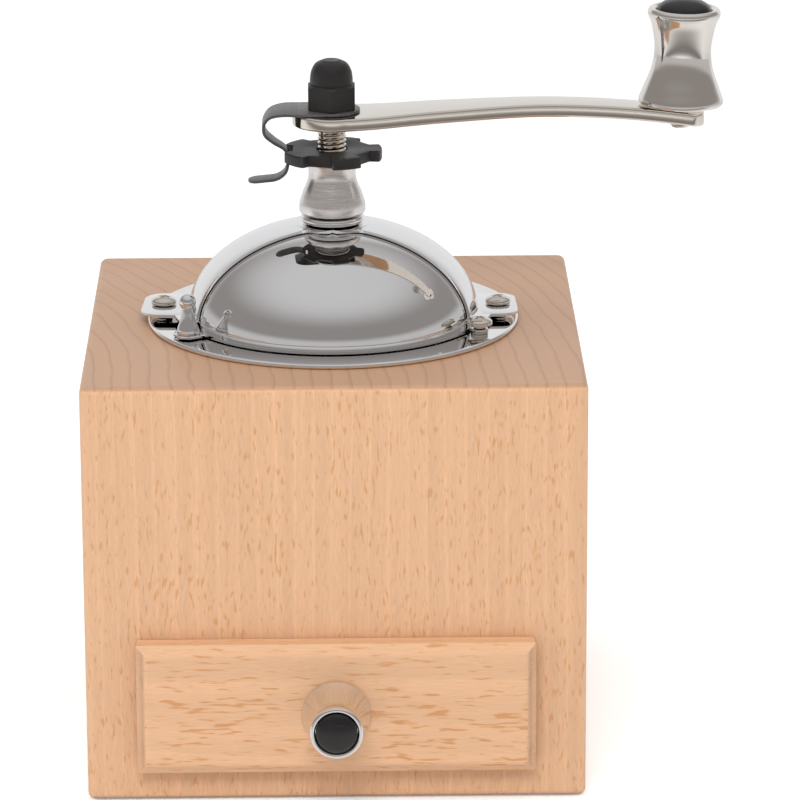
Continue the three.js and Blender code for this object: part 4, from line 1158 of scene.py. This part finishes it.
class MILL_OT_bush(BuildStep, bpy.types.Operator):
    """Builds the chrome bush with its rounded ring, and the satin collar that turns above it"""

    bl_idname = "mill.bush"
    bl_label = "Bush and collar"

    def build(self):
        low, high = box_mm("spindle_bush")
        ring = high[0]
        bore = SPINDLE_BORE
        bottom = high[2] - 2.1
        t = np.linspace(-math.pi / 2, math.pi / 2, 14)
        bead = [(ring - 0.95 + 0.95 * math.cos(a), bottom + 1.05 + 1.05 * math.sin(a)) for a in t]
        profile = [(bore, low[2]), (5.8, low[2]), (6, low[2] + 0.2), (6, bottom - 0.2), (6.4, bottom)] + bead
        profile += [(bore + 0.3, high[2]), (bore, high[2] - 0.3)]
        kept(turned("chrome_bush", profile, FINISHES["chrome"], segments()), "mill", "chrome", "spindle_bush")
        low, high = box_mm("drive_collar")
        foot, tall, wide = low[2], high[2] - low[2], high[0]
        flare = spline(
            [
                (wide, foot + tall * 0.14), (wide - 0.2, foot + tall * 0.22),
                (wide - 1.15, foot + tall * 0.42), (6.75, foot + tall * 0.63), (6.5, foot + tall * 0.78),
                (6.75, high[2] - 0.9), (7.0, high[2] - 0.45),
            ],
            44,
        )
        profile = [
            (bore, foot + 0.3), (bore + 0.3, foot), (wide - 0.75, foot), (wide - 0.25, foot + 0.12),
            (wide, foot + 0.5),
        ]
        profile += flare.tolist() + [
            (6.95, high[2] - 0.12), (6.75, high[2]), (bore + 0.3, high[2]), (bore, high[2] - 0.3)
        ]
        made = turned("satin_collar", profile, FINISHES["steel"], segments())
        kept(made, "collar", "satin_steel", "drive_collar")


def wheel_outline(angle, radius, floor, half_notch, count):
    """Radius of the star wheel at each angle.

    Equal notches share the turn. With phi the angle from a notch's middle, the floor is the line
    r = f / cos phi, and past the floor's ends the flank rises in a soft step to the wheel's radius.
    """
    share = 2 * math.pi / count
    phi = (angle - math.pi + share / 2) % share - share / 2
    level = floor / np.cos(phi)
    flank_at = math.atan2(half_notch - 0.5, floor)
    reach = level + ease((np.abs(phi) - flank_at) / 0.085) * (radius * 1.07 - floor)
    return soft_min(reach, radius, 0.5)


def bored_plate(name, outline, angle, bore, low, high, edge, material, sharp=40):
    """Plate whose rim follows a radius for each angle: rows go up the rounded rim, in, and down the bore."""
    a = np.linspace(0, math.pi / 2, 5)
    rows = [(outline - edge * (1 - math.sin(t)), low + edge * (1 - math.cos(t))) for t in a]
    rows += [(outline - edge * (1 - math.cos(t)), high - edge * (1 - math.sin(t))) for t in a]
    rows += [(outline - edge - 0.4, high), (bore + 0.4, high), (bore, high - 0.3)]
    rows += [(bore, low + 0.3), (bore + 0.4, low), (outline - edge - 0.4, low)]
    grid = np.array([swept(r, angle, z) for r, z in rows])
    faces = grid_faces(len(rows), len(angle), wrap_rows=True, wrap_cols=True)
    return mesh_object(name, grid.reshape(-1, 3), faces, material, sharp)


class MILL_OT_wheel(BuildStep, bpy.types.Operator):
    """Builds the black star wheel with five notches for the latch"""

    bl_idname = "mill.wheel"
    bl_label = "Star wheel"

    def build(self):
        low, high = box_mm("star_wheel")
        angle = full_turn(360)
        outline = wheel_outline(angle, high[0], 10.8, 3.6, 5)
        made = bored_plate(
            "black_star_wheel", outline, angle, SPINDLE_BORE, low[2], high[2], 0.45, FINISHES["enamel"]
        )
        kept(made, "adjuster", "black_enamel", "star_wheel")


class MILL_OT_spindle(BuildStep, bpy.types.Operator):
    """Builds the steel spindle with the thread that the star wheel and the cap nut run on"""

    bl_idname = "mill.spindle"
    bl_label = "Spindle"

    def build(self):
        """Radius is R - d (1 - w^1.6), w = |2 frac(z / pitch - a / 2 pi) - 1|, fading out at the foot."""
        s = sizes()
        low, high = box_mm("spindle")
        radius = high[0]
        collar_top = box_mm("drive_collar")[1][2]
        pitch, depth = s.thread_pitch / MM, s.thread_depth / MM
        plain = np.linspace(low[2] + 0.6, collar_top - 4, 8)
        rows = np.concatenate([plain, np.arange(collar_top - 3.9, high[2] - 0.5, pitch / 9)])
        angle = full_turn(64)
        z = rows[:, None] + 0 * angle
        wave = np.abs(2 * ((z / pitch - angle / (2 * math.pi)) % 1.0) - 1)
        cut_in = depth * (1 - wave**1.6) * ease((z - collar_top + 3.5) / 1.5)
        foot = swept(radius - 0.9, angle, low[2])[None]
        head = swept((radius - 0.3) * 0.8, angle, high[2])[None]
        sections = np.concatenate([foot, swept(radius - cut_in, angle, z), head])
        kept(lofted("threaded_spindle", sections, FINISHES["nickel"], 50), "spindle", "nickel", "spindle")


class MILL_OT_cap_nut(BuildStep, bpy.types.Operator):
    """Builds the black domed cap nut"""

    bl_idname = "mill.cap_nut"
    bl_label = "Cap nut"

    def build(self):
        """Radius is the least of the hexagon and the two chamfer cones, softened, with the dome on top."""
        low, high = box_mm("cap_nut")
        flats = (high[0] - low[0]) / 2
        hex_top = low[2] + 6.9
        angle = full_turn(144)
        hexagon = flats / np.cos((angle + math.pi / 6) % (math.pi / 3) - math.pi / 6)
        corner = flats / math.cos(math.pi / 6)
        lower = np.linspace(low[2] + 0.02, low[2] + 0.7, 6)
        rows = np.concatenate(
            [lower, np.linspace(low[2] + 1.2, hex_top - 1.6, 6), np.linspace(hex_top - 1.4, hex_top, 16)]
        )
        z = rows[:, None]
        chamfer = np.minimum(corner - 0.55 + (z - low[2]) * 0.9, corner - 0.12 + (hex_top - z) * 1.75 - 0.95)
        body = soft_min(hexagon[None, :] + 0 * z, chamfer + 0 * angle, 0.12)
        dome_line = spline(
            [
                (5.85, hex_top + 0.05), (5.85, hex_top + 1.6), (5.5, high[2] - 3.0), (4.4, high[2] - 1.05),
                (2.6, high[2] - 0.1), (2.2, high[2]),
            ],
            36,
        )
        ledge = np.array([(6.15, hex_top + 0.0), (5.95, hex_top + 0.02)])
        dome = np.vstack([ledge, dome_line])
        grid = np.concatenate([swept(body, angle, z), swept(dome[:, :1], angle, dome[:, 1:])])
        made = lofted("black_cap_nut", grid, FINISHES["enamel"], 28)
        kept(bevelled(made, 0.12, 2, 25), "spindle", "black_enamel", "cap_nut")


# ---------------------------------------------------------------- crank and latch


def strip_sections(line, half, thick, edge, upright=False, corner=5):
    """Rounded rectangles along an [x, z] line: half width along Y, thickness across the line.

    Each corner is a quarter circle of the edge's radius, no larger than half the thickness or width.
    """
    line = np.array(line, float)
    along = np.gradient(line, axis=0)
    along /= np.linalg.norm(along, axis=1, keepdims=True)
    if upright:
        along = np.tile([1.0, 0.0], (len(line), 1))
    normal = np.stack([-along[:, 1], along[:, 0]], -1)
    side = np.sign(normal[:1, 1:])
    normal = normal * side
    a = np.linspace(0, math.pi / 2, corner)
    quarter = np.stack([np.cos(a), np.sin(a)], -1)
    half = np.asarray(half, float)[:, None]
    round_x = np.minimum(edge, half * 0.9)
    round_z = min(edge, thick / 2 * 0.98)
    ring = []
    for k, (sx, sz) in enumerate([(1, 1), (-1, 1), (-1, -1), (1, -1)]):
        turn = quarter if k % 2 == 0 else quarter[::-1]
        ring.append(np.stack([
            sx * (half - round_x + round_x * turn[None, :, 0]),
            np.tile(sz * (thick / 2 - round_z + round_z * turn[:, 1]), (len(line), 1)),
        ], -1))
    ring = np.concatenate(ring, 1)
    across = ring[..., 0] * side
    x = line[:, :1] + ring[..., 1] * normal[:, :1]
    z = line[:, 1:] + ring[..., 1] * normal[:, 1:]
    return np.stack([x, across, z], -1)


def end_spaced(start, stop, count):
    """Values from start to stop that crowd towards start, as 1 - cos does."""
    return start + (stop - start) * (1 - np.cos(np.linspace(0, math.pi / 2, count)))


class MILL_OT_arm(BuildStep, bpy.types.Operator):
    """Builds the arched, tapering crank arm with rounded edges"""

    bl_idname = "mill.arm"
    bl_label = "Crank arm"

    def build(self):
        """Half width is sqrt(R^2 - x^2) at the hub and the end, and a spline between."""
        low, high = box_mm("crank_arm")
        thick = ARM_THICKNESS
        top = box_mm("latch_eye")[1][2] - 0.85
        hub = -low[0]
        end_radius = 6.5
        middle = high[0] - end_radius
        crest = spline(
            [
                (-hub - 1, top), (hub * 0.8, top), (middle * 0.32, top + 1.456), (middle * 0.6, top + 2.6),
                (middle * 0.85, top + 1.56), (high[0] + 2, top - 1.1),
            ],
            200,
        )
        waist = spline(
            [
                (3, 10.3), (8, 9.5), (20, 8.3), (33, 7.3), (51, 5.95), (62, 5.6), (83, 5.4), (98, 5.6),
                (110, 5.6),
            ],
            200,
        )
        stations = np.concatenate([end_spaced(-hub + 0.004, 4, 26), np.linspace(5, middle - 2, 70),
                                   end_spaced(high[0] - 0.004, middle - 1, 22)[::-1]])
        at_hub = np.sqrt(np.clip(hub**2 - stations**2, 0, None))
        at_end = np.sqrt(np.clip(end_radius**2 - (stations - middle) ** 2, 0, None))
        half = np.interp(stations, waist[:, 0], waist[:, 1])
        half = np.where(stations < 4, at_hub, half)
        half = np.where(stations > middle, np.minimum(half, at_end), half)
        height = np.interp(stations, crest[:, 0], crest[:, 1]) - thick / 2
        line = np.column_stack([stations, height])
        sections = strip_sections(line, half, thick, sizes().arm_edge / MM, upright=True)
        kept(lofted("nickel_crank_arm", sections, FINISHES["nickel"], 42), "spindle", "nickel", "crank_arm")


class MILL_OT_crank_knob(BuildStep, bpy.types.Operator):
    """Builds the waisted chrome knob of the crank, its domed insert and the pin that it turns on"""

    bl_idname = "mill.crank_knob"
    bl_label = "Crank knob"

    def build(self):
        at = CRANK_KNOB_FOOT
        turn = Matrix.Rotation(math.radians(CRANK_KNOB_LEAN), 3, "Y")
        base, waist, rim, tall = 11.65, 7.75, 9.95, 26.7
        flank = spline(
            [
                (base - 0.05, 1.15), (base - 0.25, 2.0), (base * 0.885, tall * 0.18),
                (waist + 0.62, tall * 0.38), (waist, tall * 0.58), (rim - 1.25, tall * 0.81),
                (rim - 0.2, tall - 2.3), (rim, tall - 1.75),
            ],
            60,
        )
        bead = [
            (rim - 1.15 + 1.15 * math.cos(t), tall - 1.25 + 1.25 * math.sin(t))
            for t in np.linspace(0, 2.5, 14)
        ]
        foot = [(2.6, 0.25), (2.85, 0.0), (base - 0.75, 0.0), (base - 0.22, 0.15), (base, 0.6)]
        inside = [(7.55, tall - 1.2), (7.5, tall - 3.6), (2.6, tall - 3.6)]
        profile = foot + flank.tolist() + bead + inside
        made = turned("chrome_crank_knob", profile, FINISHES["polished"], segments(), at, turn, 42)
        kept(made, "crank_knob", "chrome", "crank_knob_shell")
        t = np.linspace(0, math.pi / 2, 18)
        crown = np.column_stack([7.38 * np.cos(t), tall - 0.75 + 3.5 * np.sin(t)])
        crown[-1, 0] = 0
        profile = [(0, tall - 3.5), (7.0, tall - 3.5), (7.38, tall - 3.1)] + crown.tolist()
        made = turned("crank_knob_cap", profile, FINISHES["plastic"], segments(), at, turn, 50)
        kept(made, "crank_knob", "black_plastic", "crank_knob_insert")
        under = -1 - ARM_THICKNESS - 1.2
        rivet = [
            (0, under - 1), (1.9, under - 1), (2.45, under - 0.75), (2.6, under - 0.35),
            (2.6, under - 0.05), (2.2, under),
        ]
        rivet += [
            (2.2, tall - 5.5), (3.6, tall - 5.5), (3.8, tall - 5.2), (3.8, tall - 4.4), (3.4, tall - 4.0),
            (0, tall - 4.0),
        ]
        made = turned("crank_knob_pin", rivet, FINISHES["nickel"], 48, at, turn, 40)
        kept(made, "crank_knob", "nickel", "knob_pin")


class MILL_OT_latch(BuildStep, bpy.types.Operator):
    """Builds the latch as one bent strip of blacked spring steel, from its eye to the thumb tab"""

    bl_idname = "mill.latch"
    bl_label = "Latch"

    def build(self):
        high = box_mm("latch_eye")[1]
        sheet = sizes().latch_sheet / MM
        wheel_low, wheel_high = box_mm("star_wheel")
        eye = high[2] - 0.4
        out, floor = -18.7, -10.8
        bend = box_mm("latch_leaf")[1][2]
        marks = np.array(
            [
                (EYE_RADIUS, eye, EYE_RADIUS), (4, eye, EYE_RADIUS), (-3, eye, EYE_RADIUS),
                (-9, eye, 7.75), (-13.4, eye - 0.02, 7.3), (-16.7, eye - 0.85, 6.3),
                (out + 0.35, eye - 2.7, 5.2), (out, bend, 4.5), (out + 0.5, bend - 2.1, 4.1),
                (out + 2.8, wheel_high[2] + 2.2, 3.5), (floor - 2.3, wheel_high[2] + 0.3, 2.75),
                (floor - 1.35, wheel_high[2] - 1.7, 2.7), (floor - 1.3, wheel_low[2] - 1, 2.7),
                (floor - 2.1, wheel_low[2] - 3.4, 2.9), (floor - 4.4, wheel_low[2] - 5.0, 3.15),
                (floor - 7.8, wheel_low[2] - 5.5, 3.2), (floor - 12.3, wheel_low[2] - 5.9, 3.2),
            ]
        )
        curve = spline(marks, 260)
        line, half = curve[:, :2], curve[:, 2]
        at_eye = np.sqrt(np.clip(EYE_RADIUS**2 - line[:, 0] ** 2, 0.0004, None))
        half = np.where(line[:, 0] > 0, np.minimum(half, at_eye), half)
        tip = np.linalg.norm(line - line[-1], axis=1)
        half = half * np.sqrt(np.clip(1 - (1 - np.clip(tip / 2.6, 0, 1)) ** 2, 0.0006, 1))
        sections = strip_sections(line, half, sheet, 0.22, corner=4)
        made = lofted("latch_strip", sections, FINISHES["strip"], 45)
        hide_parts("latch_eye", "latch_leaf")
        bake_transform(made)


# ---------------------------------------------------------------- inside the mill


class MILL_OT_spring(BuildStep, bpy.types.Operator):
    """Builds the lift spring as a round wire coil with closed ends"""

    bl_idname = "mill.spring"
    bl_label = "Lift spring"

    def build(self):
        """The wire's middle is (R cos a, R sin a, h(a)), rising evenly between a closed turn at each end."""
        low, high = box_mm("lift_spring")
        wire, radius, turns = 0.6, 6.1, 7
        t = np.linspace(0, 1, turns * 36 + 1)
        angle = t * turns * 2 * math.pi
        share = np.interp(t, [0, 1 / turns, 1 - 1 / turns, 1], [0, 0.07, 0.93, 1])
        height = low[2] + wire + share * (high[2] - low[2] - 2 * wire)
        centre = np.column_stack([radius * np.cos(angle), radius * np.sin(angle), height])
        along = np.gradient(centre, axis=0)
        along /= np.linalg.norm(along, axis=1, keepdims=True)
        out = np.column_stack([np.cos(angle), np.sin(angle), 0 * angle])
        up = np.cross(out, along)
        ring = full_turn(12)
        sections = centre[:, None] + wire * (
            np.cos(ring)[None, :, None] * out[:, None] + np.sin(ring)[None, :, None] * -up[:, None]
        )
        sections = sections[:, ::-1]
        made = lofted("coil_spring", sections, FINISHES["nickel"], 50)
        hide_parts("lift_spring")
        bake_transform(made)


PACKED_FINISH = {
    "bush_nut": "nickel",
    "hopper_funnel": "steel",
    "outer_burr": "iron",
    "inner_burr": "iron",
    "burr_bridge": "steel",
    "lower_bush": "brass",
    "burr_pin": "nickel",
    "bridge_screw_left": "nickel",
    "bridge_screw_right": "nickel",
    "spring_seat": "nickel",
    "seat_pin": "nickel",
    "drawer_knob_screw": "nickel",
}


class MILL_OT_inside(BuildStep, bpy.types.Operator):
    """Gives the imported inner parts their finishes"""

    bl_idname = "mill.inside"
    bl_label = "Inner parts"

    def build(self):
        for node, finish in PACKED_FINISH.items():
            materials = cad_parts[node].data.materials
            materials.clear()
            materials.append(FINISHES[finish])


# ---------------------------------------------------------------- stage


def area_light(name, at, aim, size, power):
    """Rectangular soft light at a point in metres, facing another."""
    data = bpy.data.lights.new(name, "AREA")
    data.shape = "RECTANGLE"
    data.size, data.size_y = size
    data.energy = power
    lamp = bpy.data.objects.new(name, data)
    lamp.location = at
    lamp.rotation_euler = (Vector(aim) - Vector(at)).to_track_quat("-Z", "Y").to_euler()
    lamp.visible_glossy = False
    bpy.context.scene.collection.objects.link(lamp)


def studio_world():
    """Surroundings as the mill sees them: white backdrop behind, grey room in front, white in the picture.

    The backdrop's share is a soft step of the direction's dot product with the way the camera looks.
    """
    world = bpy.data.worlds.new("studio")
    world.use_nodes = True
    t = Tree(world.node_tree)
    shader = world.node_tree.nodes["Background"]
    way = t.add("ShaderNodeTexCoord", out=0)
    towards = t.add("ShaderNodeVectorMath", {0: way, 1: (0.0, 0.958, -0.287)}, out=1, operation="DOT_PRODUCT")
    behind = t.range(towards, 0.45, 0.75, smooth=True)
    height = t.add("ShaderNodeSeparateXYZ", {0: way}).node.outputs[2]
    overhead = t.range(height, 0.4, 0.95, 0.0, 0.62, smooth=True)
    level = t.math(
        "MAXIMUM", behind, t.math("MAXIMUM", overhead, t.range(height, 0.0, 0.16, 0.5, 0.0, smooth=True))
    )
    tone = t.mix(level, (0.31, 0.29, 0.283, 1), (0.86, 0.865, 0.88, 1))
    shown = t.add("ShaderNodeLightPath", out=0)
    world.node_tree.links.new(t.mix(shown, tone, (1, 1, 1, 1)), shader.inputs["Color"])
    shader.inputs["Strength"].default_value = 1.0
    bpy.context.scene.world = world


def floor_finish():
    """Matt white board with a faint mottle; for glossy rays its front part gets a painted shade of dark grey,
    which the metal's reflections show.
    """
    made = Finish("pale_floor", (0.93, 0.93, 0.93), roughness=0.6, Specular_IOR_Level=0.2)
    t = made.tree
    mottle = t.noise(made.place, 18, 3)
    white = t.mix(mottle, (0.92, 0.92, 0.92, 1), (0.95, 0.95, 0.95, 1))
    forward = t.add("ShaderNodeSeparateXYZ", {0: made.place}).node.outputs[1]
    near = t.range(forward, -0.4, -0.02, 1.0, 0.0, smooth=True)
    painted_front_shade = t.math("MULTIPLY", near, t.range(forward, -1.35, -0.45, 0.0, 1.0, smooth=True))
    painted_shade_in_reflections = t.math("MULTIPLY", t.add("ShaderNodeLightPath", out=3), painted_front_shade)
    # Painted shade: dark grey in place of the white, seen only by glossy rays on the floor's front part
    made.set("Base Color", t.mix(painted_shade_in_reflections, white, (0.2, 0.19, 0.185, 1)))
    made.set("Emission Color", (1, 1, 1, 1))
    made.set("Emission Strength", t.math("MULTIPLY", t.add("ShaderNodeLightPath", out=0), 0.3))
    return made.material


class MILL_OT_stage(BuildStep, bpy.types.Operator):
    """Builds the pale floor, the soft lights, the surroundings and the camera"""

    bl_idname = "mill.stage"
    bl_label = "Stage"

    def build(self):
        radius = np.array([0.01, 200, 500, 900, 1400])[:, None]
        angle = full_turn(96)[::-1]
        rings = np.stack([radius * np.cos(angle), radius * np.sin(angle), 0 * radius * angle - 0.05], -1)
        faces = grid_faces(5, 96, wrap_cols=True) + [list(range(96))[::-1]]
        floor = mesh_object("floor", rings.reshape(-1, 3), faces, floor_finish())
        studio_world()
        area_light("top_softbox", (0.1, 0.2, 1.5), (0, 0, 0.1), (1.4, 1.0), 4)
        area_light("front_softbox", (-0.15, -1.5, 1.4), (0, 0, 0.06), (1.0, 0.7), 19)
        area_light("left_softbox", (-1.5, -0.5, 0.7), (0, 0, 0.1), (0.9, 1.3), 6)
        area_light("right_softbox", (1.6, -0.4, 0.8), (0, 0, 0.1), (0.9, 1.3), 4)
        self.camera()
        view = bpy.context.scene.view_settings
        view.view_transform = "Standard"
        view.look = "None"

    def camera(self):
        """Long lens 1.37 m off, 16.7 degrees down, with the mill's base low in the picture."""
        data = bpy.data.cameras.new("camera")
        data.lens = 215.39
        data.sensor_width = 36
        data.clip_start, data.clip_end = 0.05, 60
        camera = bpy.data.objects.new("camera", data)
        camera.location = (-0.00014, -1.28053, 0.47662)
        pitch, yaw, roll = math.radians(16.689), math.radians(0.832), math.radians(0.226)
        tilt = Matrix.Rotation(math.pi / 2 - pitch, 3, "X") @ Matrix.Rotation(-roll, 3, "Z")
        camera.rotation_euler = (Matrix.Rotation(-yaw, 3, "Z") @ tilt).to_euler()
        bpy.context.scene.collection.objects.link(camera)
        bpy.context.scene.camera = camera


# ---------------------------------------------------------------- panel and main

STEPS = (
    MILL_OT_stage,
    MILL_OT_case,
    MILL_OT_drawer,
    MILL_OT_drawer_knob,
    MILL_OT_ring,
    MILL_OT_dome,
    MILL_OT_door,
    MILL_OT_screws,
    MILL_OT_bush,
    MILL_OT_wheel,
    MILL_OT_spindle,
    MILL_OT_cap_nut,
    MILL_OT_arm,
    MILL_OT_crank_knob,
    MILL_OT_latch,
    MILL_OT_spring,
    MILL_OT_inside,
)


class MILL_PT_panel(bpy.types.Panel):
    """Lists the sizes, the colours and the building steps"""

    bl_label = "Coffee Mill"
    bl_idname = "MILL_PT_panel"
    bl_space_type = "VIEW_3D"
    bl_region_type = "UI"
    bl_category = "Mill"

    def draw(self, context):
        for group in (context.scene.mill_sizes, context.scene.mill_colours):
            box = self.layout.box()
            for field in group.bl_rna.properties:
                if field.identifier not in {"rna_type", "name"}:
                    box.prop(group, field.identifier)
        for step in STEPS:
            self.layout.operator(step.bl_idname)


CLASSES = (MillSizes, MillColours, *STEPS, MILL_PT_panel)


def register():
    """Registers the classes and gives the scene its properties."""
    for kind in CLASSES:
        bpy.utils.register_class(kind)
    bpy.types.Scene.mill_sizes = PointerProperty(type=MillSizes)
    bpy.types.Scene.mill_colours = PointerProperty(type=MillColours)


def unregister():
    """Takes away what register added."""
    del bpy.types.Scene.mill_colours
    del bpy.types.Scene.mill_sizes
    for kind in reversed(CLASSES):
        bpy.utils.unregister_class(kind)


def main():
    """Builds every piece in order."""
    register()
    for step in STEPS:
        family, action = step.bl_idname.split(".")
        getattr(getattr(bpy.ops, family), action)()


if __name__ == "__main__":
    main()
